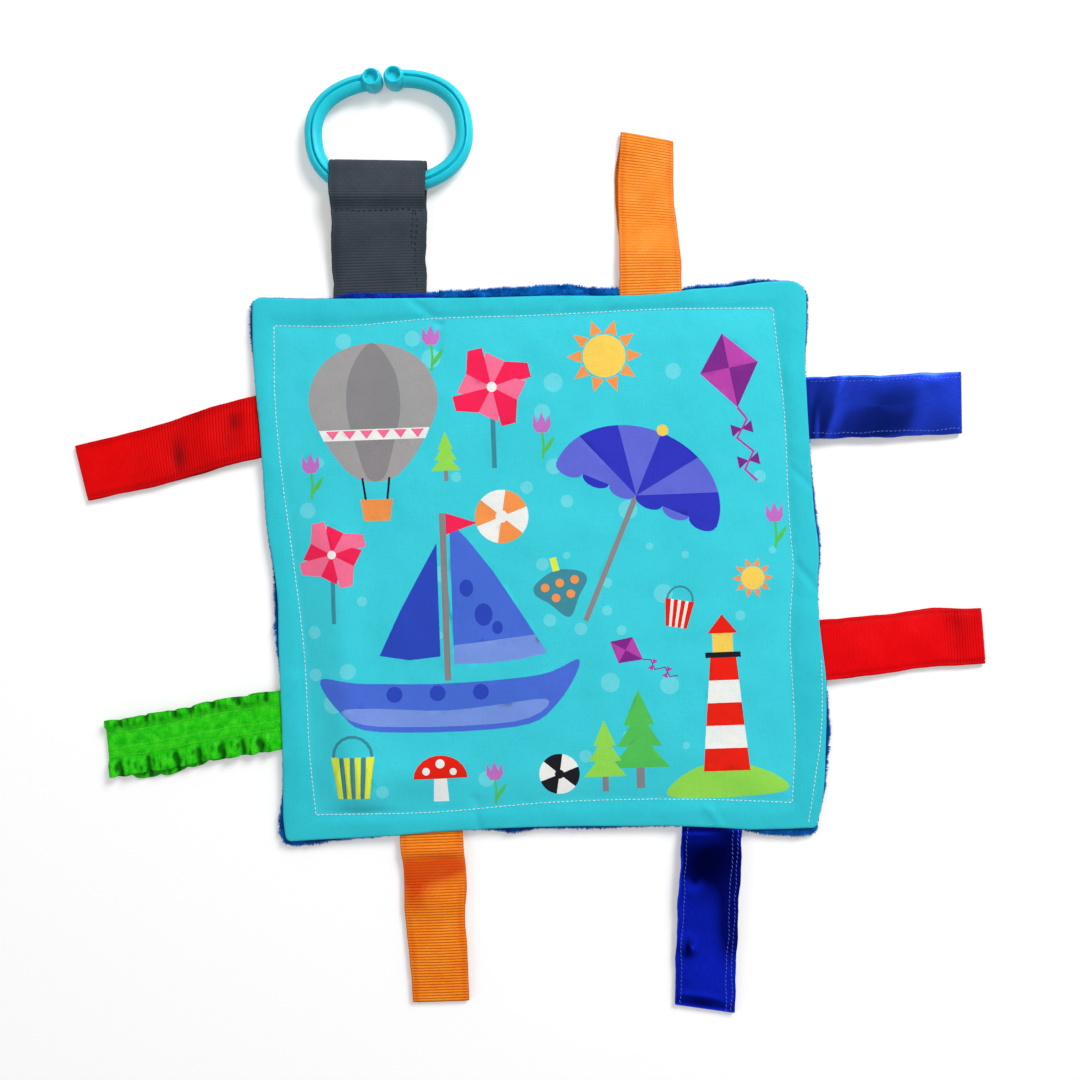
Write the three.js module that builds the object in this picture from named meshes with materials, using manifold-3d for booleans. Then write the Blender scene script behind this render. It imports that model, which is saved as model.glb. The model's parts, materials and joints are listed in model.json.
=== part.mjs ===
// A crinkle square: a flat square of two fabrics sewn together round a crackling film, with
// eight folded ribbon tags in its seam and a split plastic link ring in one of them.
// Millimetres, +Z up. The square lies on its plush back with the printed front up, and the
// origin is the middle of the back panel's underside. +Y points to the edge with the ring.
import * as THREE from "three";
import { mergeVertices } from "three/addons/utils/BufferGeometryUtils.js";
import Module from "manifold-3d";

const wasm = await Module();
wasm.setup();

// The sewn square. Each corner drifts a little from the true rectangle, and the seam draws
// each side in at its middle.
const panelWidth = 203.2;
const panelLength = 201;
const cornerDrift = {
  topLeft: [-2, 1.7],
  topRight: [0.2, 1.3],
  bottomRight: [1.7, -1.1],
  bottomLeft: [3.1, 0.7],
};
const drawIn = { top: 2.7, right: 0.4, bottom: 2.9, left: 1.7 };
const cornerRadius = { topLeft: 3, topRight: 7, bottomRight: 9, bottomLeft: 4 };
const stitchInset = 9.6;
const hemLength = 7.2;
const edgeRound = 1.6;
const borderDepth = 15;
const crownInset = 40;

// The layers, from the floor up. Every ply lies plyGap from the next.
const frontCloth = 0.4;
const backCloth = 1.3;
const backHemCloth = 0.8;
const sewnEndThickness = 0.8;
const filmThickness = 0.2;
const plyGap = 0.3;
const crownHeight = 5.7;
const crownEase = 0.1;
const shoulderDrop = 0.9;
const channelRise = 0.6;
const hemSwell = 0.15;
const filmWave = 0.9;
const filmWaveLength = 44;
const filmCaught = 1.2;
const filmRiseInset = 34;
const filmInnerInset = 58;

// The seam opens over each ribbon's end, a margin wider than the ribbon, and closes again
// within the fade.
const slotMargin = 1.6;
const slotFade = 6;

// The ribbons. A loop turns about an axis hingeStandOff outside the panel's edge, and its sewn
// end stops hingeClearance short of that axis.
const ribbonThickness = 0.4;
const hingeStandOff = 2.6;
const hingeClearance = 0.95;
const sewnEndDepth = 6.6;
const foldRadius = 0.8;
const foldLead = 3;
const settleShare = 0.62;
const floorClearance = 0.15;

// The split ring: the outer half width and half length of its rounded outline, and its tube.
const ringHalfWidth = 31.2;
const ringHalfLength = 23.1;
const ringExponent = 2.38;
const ringTube = 6.5;
const ringGroove = 0.5;
const ringGrooveOffset = 0.4;
const ringTilt = 3.7;
const ringCentreX = -50.7;
const knobHeight = 9.6;
const knobTopDiameter = 6.1;
const knobBulgeDiameter = 7.4;
const knobRecessDiameter = 4.2;
const knobRecessDepth = 1.2;
const knobSpacing = 8.2;
const ringFit = 0.4;
const ringReach = 38.6;
const linkStitchReach = 27;

// Every ribbon tag: the side of the square it is sewn into, its place along that side from the
// middle, its free length, its widths at the seam and at the fold, how far it leans from square
// to the side and how far its fold is out of parallel with the side, in degrees.
const tags = [
  {
    name: "link_tag",
    side: "top",
    along: -54.8,
    length: 49.6,
    rootWidth: 34.9,
    tipWidth: 34.6,
    lean: -1.7,
    foldSkew: 4.2,
    color: 0x3f464e,
  },
  {
    name: "orange_tag_top",
    side: "top",
    along: 45.6,
    length: 56.0,
    rootWidth: 22.5,
    tipWidth: 20,
    lean: 0,
    foldSkew: 12.3,
    color: 0xf28f35,
  },
  {
    name: "blue_tag_right",
    side: "right",
    along: 53.2,
    length: 54.3,
    rootWidth: 23,
    tipWidth: 22.9,
    lean: 0,
    foldSkew: 3.7,
    color: 0x17288d,
  },
  {
    name: "red_tag_right",
    side: "right",
    along: -35.4,
    length: 58.7,
    rootWidth: 22.6,
    tipWidth: 20.7,
    lean: 3.1,
    foldSkew: -2.5,
    color: 0xdc0d16,
  },
  {
    name: "blue_tag_bottom",
    side: "bottom",
    along: 57.8,
    length: 66.3,
    rootWidth: 22.3,
    tipWidth: 22.3,
    lean: -4.3,
    foldSkew: 9.9,
    color: 0x0a1ba8,
  },
  {
    name: "orange_tag_bottom",
    side: "bottom",
    along: -47.1,
    length: 61.1,
    rootWidth: 23.5,
    tipWidth: 20.9,
    lean: 1.2,
    foldSkew: 0.2,
    color: 0xe7701c,
  },
  {
    name: "green_tag_left",
    side: "left",
    along: -55.5,
    length: 64.2,
    rootWidth: 22.6,
    tipWidth: 21.9,
    lean: 7.8,
    foldSkew: -3.8,
    color: 0x36c81e,
  },
  {
    name: "red_tag_left",
    side: "left",
    along: 53,
    length: 66.3,
    rootWidth: 23.4,
    tipWidth: 21.5,
    lean: 13,
    foldSkew: -11.2,
    color: 0xd0080f,
  },
];
const ruffledTag = "green_tag_left";
const ruffleHeight = 1.3;
const ruffleLength = 9;
const ruffleFlat = 0.4;
const ruffleGrowth = 14;
const ruffleShift = 1.2;
const linkTag = tags[0];

// Heights that follow from the layers. Both hems meet the ribbons' sewn ends at seamHeight.
const slotHalf = sewnEndThickness / 2 + plyGap;
const closedHalf = plyGap / 2;
const slotLift = slotHalf - closedHalf;
const seamHeight = backCloth + plyGap + backHemCloth + slotHalf;
const channelTop = channelRise + backCloth + plyGap + filmThickness + plyGap + frontCloth;
const borderTop = seamHeight + closedHalf + frontCloth + plyGap + frontCloth;

// The sides run round the square anticlockwise. Each has its outward direction and the
// direction in which its stations run.
const halfWidth = panelWidth / 2;
const halfLength = panelLength / 2;
const sides = {
  right: { out: [1, 0], run: [0, 1], half: halfWidth, span: halfLength, corner: "bottomRight" },
  top: { out: [0, 1], run: [-1, 0], half: halfLength, span: halfWidth, corner: "topRight" },
  left: { out: [-1, 0], run: [0, -1], half: halfWidth, span: halfLength, corner: "topLeft" },
  bottom: { out: [0, -1], run: [1, 0], half: halfLength, span: halfWidth, corner: "bottomLeft" },
};
const sideNames = Object.keys(sides);

// Moves a point of the flat cloth to its place in the drawn-in square.
function warp(u, v) {
  const s = u / halfWidth;
  const t = v / halfLength;
  const left = (1 - s) / 2;
  const right = (1 + s) / 2;
  const low = (1 - t) / 2;
  const high = (1 + t) / 2;
  const drift = (k) =>
    left * high * cornerDrift.topLeft[k] +
    right * high * cornerDrift.topRight[k] +
    right * low * cornerDrift.bottomRight[k] +
    left * low * cornerDrift.bottomLeft[k];
  const across = (1 - t * t) * (left * drawIn.left - right * drawIn.right);
  const along = (1 - s * s) * (low * drawIn.bottom - high * drawIn.top);
  return [u + drift(0) + across, v + drift(1) + along];
}

// Where a side's station lies along its run, for a tag's place given along +X or +Y.
function alongRun(side, along) {
  return along * (side.run[0] + side.run[1]);
}

// The stations of one side: both edges of each ribbon, a step beyond them and even steps
// between, so that the seam opens over the ribbons only.
function stationsOf(name) {
  const side = sides[name];
  const places = [];
  for (const tag of tags.filter((t) => t.side === name)) {
    const centre = alongRun(side, tag.along);
    const half = tag.rootWidth / 2;
    for (const sign of [-1, 1]) {
      places.push(centre + sign * (half + slotMargin));
      places.push(centre + sign * (half + slotFade));
    }
  }
  places.push(0);
  const end = side.span - borderDepth;
  places.push(-end, end);
  places.sort((a, b) => a - b);
  const widest = 18;
  const filled = [places[0]];
  for (const place of places.slice(1)) {
    const from = filled[filled.length - 1];
    const parts = Math.ceil((place - from) / widest);
    for (let i = 1; i <= parts; i++) filled.push(from + ((place - from) * i) / parts);
  }
  return filled;
}

// How far the seam is open at a station: 1 over a ribbon and 0 where the hems meet.
function openness(name, place) {
  const side = sides[name];
  let open = 0;
  for (const tag of tags.filter((t) => t.side === name)) {
    const off = Math.abs(place - alongRun(side, tag.along)) - tag.rootWidth / 2;
    const share = (slotFade - off) / (slotFade - slotMargin);
    open = Math.max(open, Math.min(1, share));
  }
  return open;
}

// One ring of cloth points, inset from the sewn edge. Each point knows how open the seam is.
const cornerSteps = 2;
function ringPoints(inset) {
  const points = [];
  for (const name of sideNames) {
    const side = sides[name];
    const radius = Math.max(cornerRadius[side.corner] - inset, 0.6);
    const reach = side.half - inset;
    const before = sideNames[(sideNames.indexOf(name) + 3) % 4];
    const alongReach = sides[before].half - inset;
    const centre = [
      side.out[0] * (reach - radius) - side.run[0] * (alongReach - radius),
      side.out[1] * (reach - radius) - side.run[1] * (alongReach - radius),
    ];
    for (let i = 0; i <= cornerSteps; i++) {
      const a = (i / cornerSteps) * (Math.PI / 2);
      const back = radius * Math.cos(a);
      const outward = radius * Math.sin(a);
      const u = centre[0] - side.run[0] * back + side.out[0] * outward;
      const v = centre[1] - side.run[1] * back + side.out[1] * outward;
      points.push({ at: warp(u, v), open: 0 });
    }
    const shrink = Math.min(1, (side.span - inset - 1) / (side.span - borderDepth + 1));
    for (const place of stationsOf(name)) {
      const u = side.out[0] * reach + side.run[0] * place * shrink;
      const v = side.out[1] * reach + side.run[1] * place * shrink;
      points.push({ at: warp(u, v), open: openness(name, place) });
    }
  }
  return points;
}

function meshOf(positions, index) {
  const geometry = new THREE.BufferGeometry();
  geometry.setAttribute("position", new THREE.Float32BufferAttribute(positions.flat(), 3));
  geometry.setIndex(index);
  return geometry;
}

// Joins rings of equal length with quads. Each quad is split along its shorter diagonal, so
// that the two faces of a thin wavy cloth are split alike and never cross.
function wallsOf(rings) {
  const count = rings[0].length;
  const positions = rings.flat();
  const index = [];
  const apart = (a, b) => new THREE.Vector3(...positions[a]).distanceTo(new THREE.Vector3(...positions[b]));
  const tie = 1e-6;
  for (let r = 0; r + 1 < rings.length; r++) {
    for (let i = 0; i < count; i++) {
      const a = r * count + i;
      const b = r * count + ((i + 1) % count);
      const c = a + count;
      const d = b + count;
      if (apart(c, b) <= apart(a, d) + tie) index.push(a, c, b, b, c, d);
      else index.push(a, c, d, a, d, b);
    }
  }
  return { positions, index };
}

// Joins rings into one closed body. The first and last ring are closed by a fan round a
// middle point.
function loft(rings, firstMiddle, lastMiddle) {
  const count = rings[0].length;
  const { positions, index } = wallsOf(rings);
  const first = positions.push(firstMiddle) - 1;
  const last = positions.push(lastMiddle) - 1;
  const top = (rings.length - 1) * count;
  for (let i = 0; i < count; i++) {
    const j = (i + 1) % count;
    index.push(first, i, j);
    index.push(last, top + j, top + i);
  }
  return meshOf(positions, index);
}

// A panel from its section, a list of [inset, height, lift over an open seam] that starts at
// the middle of its outer face and ends at the middle of its inner face.
function panelGeometry(section) {
  const rings = section.map(([inset, height, lift]) =>
    ringPoints(inset).map((p) => [...p.at, height + lift * p.open]),
  );
  const middle = (step) => [0, 0, step[1]];
  return loft(rings, middle(section[0]), middle(section[section.length - 1]));
}

function frontPanel() {
  const hemFace = seamHeight + closedHalf;
  const hemBack = hemFace + frontCloth;
  const face = [
    [crownInset, crownHeight - crownEase, 0],
    [borderDepth, crownHeight - shoulderDrop, 0],
    [stitchInset, channelTop, slotLift / 2],
    [hemLength - edgeRound, borderTop + hemSwell, slotLift],
    [edgeRound, borderTop, slotLift],
  ];
  const edge = [
    [0, (borderTop + hemFace) / 2, slotLift],
    [edgeRound / 2, hemFace, slotLift],
    [hemLength, hemFace, slotLift],
    [hemLength, hemBack, slotLift],
    [edgeRound, hemBack, slotLift],
  ];
  const inside = face.map(([inset, height, lift]) => [inset, height - frontCloth, lift]).reverse();
  return panelGeometry([...face, ...edge, ...inside]);
}

function backPanel() {
  const hemFace = seamHeight - closedHalf;
  const hemBack = hemFace - backHemCloth;
  const borderLow = hemBack - plyGap - backCloth;
  const face = [
    [crownInset, 0, 0],
    [borderDepth, 0, 0],
    [stitchInset, channelRise, 0],
    [hemLength - edgeRound, borderLow, -slotLift],
    [edgeRound, borderLow, -slotLift],
  ];
  const edge = [
    [0, (borderLow + hemFace) / 2, -slotLift],
    [edgeRound / 2, hemFace, -slotLift],
    [hemLength, hemFace, -slotLift],
    [hemLength, hemBack, -slotLift],
    [edgeRound, hemBack, -slotLift],
  ];
  const inside = face.map(([inset, height, lift]) => [inset, height + backCloth, lift]).reverse();
  return turnedOver(panelGeometry([...face, ...edge, ...inside]));
}

// Turns every triangle round, for a section that runs the other way.
function turnedOver(geometry) {
  const index = Array.from(geometry.index.array);
  for (let i = 0; i < index.length; i += 3) {
    [index[i + 1], index[i + 2]] = [index[i + 2], index[i + 1]];
  }
  geometry.setIndex(index);
  return geometry;
}

// The film between the panels: caught in the stitched channel and crumpled inside it.
function crinkleFilm() {
  const caught = channelRise + backCloth + plyGap + filmThickness / 2;
  const middle = (backCloth + crownHeight - frontCloth) / 2;
  const insets = [filmInnerInset, filmRiseInset, borderDepth, stitchInset - filmCaught];
  const wave = (x, y) => {
    const step = (2 * Math.PI) / filmWaveLength;
    return Math.sin(x * step + 1.3 * Math.sin(y * step)) * Math.cos(0.7 * y * step - 0.4 * x * step);
  };
  const heights = (inset) =>
    ringPoints(inset).map((p) => {
      const share = Math.min(1, (inset - stitchInset) / (filmRiseInset - stitchInset));
      const rise = Math.max(0, share);
      return caught + rise * (middle - caught + filmWave * wave(p.at[0], p.at[1]));
    });
  const layer = (offset) =>
    insets.map((inset) => {
      const z = heights(inset);
      return ringPoints(inset).map((p, i) => [...p.at, z[i] + offset]);
    });
  const top = layer(filmThickness / 2);
  const bottom = layer(-filmThickness / 2).reverse();
  const centre = middle + filmWave * wave(0, 0);
  return loft(
    [...top, ...bottom],
    [0, 0, centre + filmThickness / 2],
    [0, 0, centre - filmThickness / 2],
  );
}

// A ribbon's side view: a folded loop in the plane of distance s from its hinge and height z.
// bed gives the loop's middle height at s, and halfGap half the space between its two plies.
function loopOutline(length, bed, halfGap, fold, steps) {
  const outer = fold + ribbonThickness;
  const straight = length - outer;
  const foldHeight = bed(straight);
  const outside = [];
  const inside = [];
  for (let i = 0; i <= steps; i++) {
    const s = (straight * i) / steps;
    outside.push([s, bed(s) + halfGap(s) + ribbonThickness]);
    inside.push([s, bed(s) + halfGap(s)]);
  }
  const arcSteps = 8;
  for (let i = 1; i < arcSteps; i++) {
    const a = Math.PI / 2 - (Math.PI * i) / arcSteps;
    outside.push([straight + outer * Math.cos(a), foldHeight + outer * Math.sin(a)]);
    inside.push([straight + fold * Math.cos(a), foldHeight + fold * Math.sin(a)]);
  }
  for (let i = steps; i >= 0; i--) {
    const s = (straight * i) / steps;
    outside.push([s, bed(s) - halfGap(s) - ribbonThickness]);
    inside.push([s, bed(s) - halfGap(s)]);
  }
  return [...outside, ...inside.reverse()];
}

function smooth(x) {
  const t = Math.min(1, Math.max(0, x));
  return t * t * (3 - 2 * t);
}

// The frame of a tag: its hinge point on the floor plan, and its outward and sideways
// directions.
function tagPlace(tag) {
  const side = sides[tag.side];
  const run = alongRun(side, tag.along);
  const u = side.out[0] * side.half + side.run[0] * run;
  const v = side.out[1] * side.half + side.run[1] * run;
  const [x, y] = warp(u, v);
  return {
    hinge: [x + side.out[0] * hingeStandOff, y + side.out[1] * hingeStandOff],
    out: side.out,
    run: side.run,
  };
}

// Sweeps a side view over the ribbon's width, and leans, tapers and skews it to its place. The
// side view runs outward along its upper face and back along its lower one.
function placeRibbon(outline, tag, acrossSteps, ruffle) {
  const place = tagPlace(tag);
  const lean = Math.tan(THREE.MathUtils.degToRad(tag.lean));
  const skew = Math.tan(THREE.MathUtils.degToRad(tag.foldSkew));
  const rings = [];
  for (let step = 0; step <= acrossSteps; step++) {
    const side = 0.5 - step / acrossSteps;
    const ring = outline.map(([s, z]) => {
      const share = THREE.MathUtils.clamp(s / tag.length, 0, 1);
      const w = side * (tag.rootWidth + (tag.tipWidth - tag.rootWidth) * share);
      const reach = s + w * skew * share;
      const offset = w + reach * lean;
      const x = place.hinge[0] + place.out[0] * reach + place.run[0] * offset;
      const y = place.hinge[1] + place.out[1] * reach + place.run[1] * offset;
      return [x, y, z + ruffle(s, 2 * side)];
    });
    rings.push(ring);
  }
  const { positions, index } = wallsOf(rings);
  const sideView = outline.map(([s, z]) => new THREE.Vector2(s, z));
  const last = acrossSteps * outline.length;
  for (const [a, b, c] of THREE.ShapeUtils.triangulateShape(sideView, [])) {
    index.push(a, c, b);
    index.push(last + a, last + b, last + c);
  }
  return meshOf(positions, index);
}

// The link ring hangs in the first tag. Its bar lies ringReach outside that tag's hinge, and
// that tag's two plies are stitched together up to linkStitchReach, below the bar.
const ringHeight = knobHeight / 2 + floorClearance;
const ringBarY = () => tagPlace(linkTag).hinge[1] + ringReach;

function tagLoop(tag) {
  const isLink = tag === linkTag;
  const ruffled = tag.name === ruffledTag;
  const fold = isLink ? ringTube / 2 + ringFit : foldRadius;
  const wave = ruffled ? ruffleHeight : 0;
  const bedHeight = isLink ? ringHeight : fold + ribbonThickness + floorClearance + wave;
  const rootHalf = plyGap / 2;
  const openFrom = isLink ? linkStitchReach : 0;
  const openBy = isLink ? ringReach - fold : tag.length - foldLead;
  const settleBy = isLink ? openBy : settleShare * tag.length;
  const bed = (s) => seamHeight + (bedHeight - seamHeight) * smooth(s / settleBy);
  const halfGap = (s) => rootHalf + (fold - rootHalf) * smooth((s - openFrom) / (openBy - openFrom));
  const ruffle = (s, side) => {
    const edge = Math.max(0, (Math.abs(side) - ruffleFlat) / (1 - ruffleFlat));
    const phase = (2 * Math.PI * s) / ruffleLength + (side > 0 ? ruffleShift : 0);
    const grown = smooth(s / ruffleGrowth) * smooth((tag.length - s) / ruffleGrowth);
    return wave * edge * grown * Math.sin(phase);
  };
  const steps = ruffled ? 26 : isLink ? 20 : 9;
  const outline = loopOutline(tag.length, bed, halfGap, fold, steps);
  return placeRibbon(outline, tag, ruffled ? 4 : 1, ruffle);
}

// The flat end of a ribbon, both plies together, between the two hems.
function sewnEnd(tag) {
  const half = sewnEndThickness / 2;
  const inner = -hingeStandOff - sewnEndDepth;
  const outline = [
    [inner, seamHeight + half],
    [-hingeClearance, seamHeight + half],
    [-hingeClearance, seamHeight - half],
    [inner, seamHeight - half],
  ];
  return placeRibbon(outline, tag, 1, () => 0);
}

// Solids for joins.
function solidOf(geometry) {
  const bare = new THREE.BufferGeometry();
  bare.setAttribute("position", geometry.getAttribute("position"));
  if (geometry.index) bare.setIndex(geometry.index);
  const merged = mergeVertices(bare, 1e-4);
  return new wasm.Manifold(
    new wasm.Mesh({
      numProp: 3,
      vertProperties: merged.attributes.position.array,
      triVerts: new Uint32Array(merged.index.array),
    }),
  );
}

function geometryOf(solid) {
  const mesh = solid.getMesh();
  const geometry = new THREE.BufferGeometry();
  geometry.setAttribute("position", new THREE.Float32BufferAttribute(mesh.vertProperties, 3));
  geometry.setIndex(new THREE.BufferAttribute(mesh.triVerts, 1));
  return geometry;
}

// A point of the ring's rounded outline at angle a, for given half sizes.
function ringOutline(a, halfX, halfY) {
  const power = 2 / ringExponent;
  const c = Math.cos(a);
  const s = Math.sin(a);
  return [
    halfX * Math.sign(c) * Math.abs(c) ** power,
    halfY * Math.sign(s) * Math.abs(s) ** power,
  ];
}

// The tube's section: round, with a groove along both faces that makes two lobes of it.
function tubeSection() {
  const radius = ringTube / 2;
  const quarter = [0, 24, 48, 68, 81];
  const points = [];
  for (const turn of [0, 180]) {
    for (const a of quarter) points.push(a + turn);
    points.push(90 + turn);
    for (const a of [...quarter].reverse().slice(0, -1)) points.push(180 - a + turn);
  }
  return points.map((degrees) => {
    const a = THREE.MathUtils.degToRad(degrees);
    const inGroove = degrees % 180 === 90;
    const r = inGroove ? radius - ringGroove : radius;
    const shift = Math.abs(Math.sin(a)) * ringGrooveOffset;
    return [r * Math.cos(a) + shift, r * Math.sin(a)];
  });
}

function linkRing() {
  const centreX = ringHalfWidth - ringTube / 2;
  const centreY = ringHalfLength - ringTube / 2;
  const section = tubeSection();
  const halfGapAngle = knobSpacing / 2 / centreX;
  const from = Math.PI / 2 + halfGapAngle;
  const sweep = 2 * Math.PI - 2 * halfGapAngle;
  const steps = 52;
  const rings = [];
  const middles = [];
  for (let i = 0; i <= steps; i++) {
    const a = from + (sweep * i) / steps;
    const [x, y] = ringOutline(a, centreX, centreY);
    const [x0, y0] = ringOutline(a - 0.01, centreX, centreY);
    const [x1, y1] = ringOutline(a + 0.01, centreX, centreY);
    const length = Math.hypot(x1 - x0, y1 - y0);
    const nx = (y1 - y0) / length;
    const ny = -(x1 - x0) / length;
    rings.push(section.map(([r, z]) => [x + nx * r, y + ny * r, z]));
    middles.push([x, y, 0]);
  }
  const tube = loft(rings, middles[0], middles[steps]);
  let solid = solidOf(tube);
  for (const sign of [-1, 1]) {
    const knob = knobGeometry();
    knob.translate((sign * knobSpacing) / 2, centreY, 0);
    solid = solid.add(solidOf(knob));
  }
  const geometry = geometryOf(solid);
  geometry.rotateZ(THREE.MathUtils.degToRad(ringTilt));
  geometry.translate(ringCentreX, ringBarY() + centreY, ringHeight);
  return geometry;
}

// A barrel-shaped grip knob with a round recess in its top, about its own middle.
function knobGeometry() {
  const half = knobHeight / 2;
  const rim = knobTopDiameter / 2;
  const bulge = knobBulgeDiameter / 2;
  const recess = knobRecessDiameter / 2;
  const chamfer = 0.4;
  const profile = [
    [0, -half],
    [rim - chamfer, -half],
    [rim, -half + chamfer],
    [bulge, -half / 2],
    [bulge, half / 2],
    [rim, half - chamfer],
    [rim - chamfer, half],
    [recess, half],
    [recess, half - knobRecessDepth],
    [0, half - knobRecessDepth],
  ];
  const lathe = new THREE.LatheGeometry(
    profile.map(([r, z]) => new THREE.Vector2(r, z)),
    20,
  );
  return lathe.rotateX(Math.PI / 2);
}

function addMesh(group, name, geometry, color, roughness) {
  const material = new THREE.MeshStandardMaterial({ color, roughness, metalness: 0 });
  const mesh = new THREE.Mesh(geometry, material);
  mesh.name = name;
  group.add(mesh);
}

const square = new THREE.Group();
addMesh(square, "front_panel", frontPanel(), 0x3acfdf, 0.9);
addMesh(square, "back_panel", backPanel(), 0x075ab4, 1);
addMesh(square, "crinkle_film", crinkleFilm(), 0xdfe4e6, 0.2);
for (const tag of tags) {
  addMesh(square, tag.name, tagLoop(tag), tag.color, 0.6);
  addMesh(square, tag.name + "_sewn_end", sewnEnd(tag), tag.color, 0.6);
}
addMesh(square, "link_ring", linkRing(), 0x27cbdb, 0.3);

export default square;
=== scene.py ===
# A crinkle square: printed cotton and deep blue plush sewn together round a crackling film, with
# eight folded ribbon tags in the seam and a split link ring hanging in one of them.
import json
import math
import random

import bpy
import numpy as np
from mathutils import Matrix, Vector, geometry, kdtree, noise

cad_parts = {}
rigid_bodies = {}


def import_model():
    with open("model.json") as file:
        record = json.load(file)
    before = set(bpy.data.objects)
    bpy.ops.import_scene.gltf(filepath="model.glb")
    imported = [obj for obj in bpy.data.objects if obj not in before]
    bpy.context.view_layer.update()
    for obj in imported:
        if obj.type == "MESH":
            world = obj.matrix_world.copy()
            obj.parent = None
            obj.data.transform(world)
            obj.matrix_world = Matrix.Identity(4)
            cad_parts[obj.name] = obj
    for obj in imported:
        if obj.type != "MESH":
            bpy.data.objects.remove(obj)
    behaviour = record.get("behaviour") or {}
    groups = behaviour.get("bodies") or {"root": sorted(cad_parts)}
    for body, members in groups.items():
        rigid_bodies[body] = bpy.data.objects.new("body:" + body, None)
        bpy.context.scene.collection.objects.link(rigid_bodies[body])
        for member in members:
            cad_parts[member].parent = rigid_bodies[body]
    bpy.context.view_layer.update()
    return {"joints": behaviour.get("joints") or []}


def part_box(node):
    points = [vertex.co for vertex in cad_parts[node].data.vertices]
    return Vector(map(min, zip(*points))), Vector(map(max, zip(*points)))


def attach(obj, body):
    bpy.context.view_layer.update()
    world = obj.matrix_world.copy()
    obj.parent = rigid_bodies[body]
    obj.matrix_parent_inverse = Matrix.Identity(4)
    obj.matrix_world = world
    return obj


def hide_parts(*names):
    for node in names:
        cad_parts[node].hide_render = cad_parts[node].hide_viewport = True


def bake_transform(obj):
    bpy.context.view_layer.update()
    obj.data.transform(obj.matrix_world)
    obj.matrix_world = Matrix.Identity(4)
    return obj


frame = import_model()
mm = 0.001

# Camera
# The photograph is taken straight down from 0.45 m over the print, turned by two degrees. At
# the height of the print the side of the picture is 0.4 m.
picture_side = 399.6 * mm
print_height = 5 * mm
camera_height = 455 * mm
camera_data = bpy.data.cameras.new("camera")
camera_data.sensor_width = 36
camera_data.lens = camera_data.sensor_width * (camera_height - print_height) / picture_side
camera = bpy.data.objects.new("camera", camera_data)
camera.location = (-0.15 * mm, 8.8 * mm, camera_height)
camera.rotation_euler = (0, 0, math.radians(-2.04))
bpy.context.scene.collection.objects.link(camera)
bpy.context.scene.camera = camera

# Studio
# A white table and a white sweep round it under a dark ceiling, with one large soft lamp above
# the upper right corner and a weaker one on the left. The table stays white to the camera.
bpy.context.scene.view_settings.view_transform = "Standard"
table_side = 8


def colour_of(red, green, blue):
    """A colour written as on a screen, from 0 to 255, in the light that shaders reckon with."""
    def light(value):
        value /= 255
        return value / 12.92 if value <= 0.04045 else ((value + 0.055) / 1.055) ** 2.4
    return (light(red), light(green), light(blue), 1)


def set_sockets(node, values):
    """Sets plain values on a node's own sockets."""
    for socket, value in values.items():
        node.inputs[socket].default_value = value


def reckoned(nodes, links, operation, first, second):
    """A Math node over a socket and another socket or a number."""
    node = nodes.new("ShaderNodeMath")
    node.operation = operation
    links.new(first, node.inputs[0])
    if isinstance(second, float):
        node.inputs[1].default_value = second
    else:
        links.new(second, node.inputs[1])
    return node.outputs[0]


def mapped(nodes, links, value, low, high, to_low, to_high):
    """A value moved from one range to another."""
    node = nodes.new("ShaderNodeMapRange")
    set_sockets(node, {"From Min": low, "From Max": high, "To Min": to_low, "To Max": to_high})
    links.new(value, node.inputs["Value"])
    return node.outputs["Result"]


def seen_directly(nodes, links):
    """1 for camera, glossy and transmitted rays, and 0 for light that is spread by a surface."""
    rays = nodes.new("ShaderNodeLightPath").outputs
    seen = reckoned(nodes, links, "MAXIMUM", rays["Is Camera Ray"], rays["Is Glossy Ray"])
    return reckoned(nodes, links, "MAXIMUM", seen, rays["Is Transmission Ray"])


bpy.ops.mesh.primitive_plane_add(size=table_side)
table = bpy.context.object
table.name = "table"
table_material = bpy.data.materials.new("white_table")
table_material.use_nodes = True
nodes, links = table_material.node_tree.nodes, table_material.node_tree.links
table_surface = nodes["Principled BSDF"]
set_sockets(table_surface, {
    "Base Color": (0.8, 0.8, 0.8, 1), "Roughness": 0.9, "Specular IOR Level": 0.1,
    "Emission Color": (1, 1, 1, 1),
})
# The lamps light only the middle of the table, so its own glow rises from 0.3 to 0.85 between
# 0.3 m and 1.2 m from there.
table_place = nodes.new("ShaderNodeTexCoord")
from_middle = nodes.new("ShaderNodeVectorMath")
from_middle.operation = "LENGTH"
links.new(table_place.outputs["Object"], from_middle.inputs[0])
glow_level = mapped(nodes, links, from_middle.outputs["Value"], 0.3, 1.2, 0.3, 0.85)
table_glow = reckoned(nodes, links, "MULTIPLY", seen_directly(nodes, links), glow_level)
links.new(table_glow, table_surface.inputs["Emission Strength"])
table.data.materials.append(table_material)

world = bpy.data.worlds.new("white_sweep")
bpy.context.scene.world = world
world.use_nodes = True
nodes, links = world.node_tree.nodes, world.node_tree.links
around = nodes["Background"]
around.inputs["Color"].default_value = (1, 1, 1, 1)
heading = nodes.new("ShaderNodeTexCoord")
heading_parts = nodes.new("ShaderNodeSeparateXYZ")
links.new(heading.outputs["Generated"], heading_parts.inputs[0])
# Things are lit evenly from all round. Seen directly, the room is white, and dark straight above.
around_level = 0.31
ceiling_level = 0.05
ceiling = mapped(
    nodes, links, heading_parts.outputs["Z"],
    0.84, 0.965, 1 - around_level, ceiling_level - around_level,
)
level = nodes.new("ShaderNodeMath")
level.operation = "MULTIPLY_ADD"
level.inputs[2].default_value = around_level
links.new(seen_directly(nodes, links), level.inputs[0])
links.new(ceiling, level.inputs[1])
links.new(level.outputs[0], around.inputs["Strength"])

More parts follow.
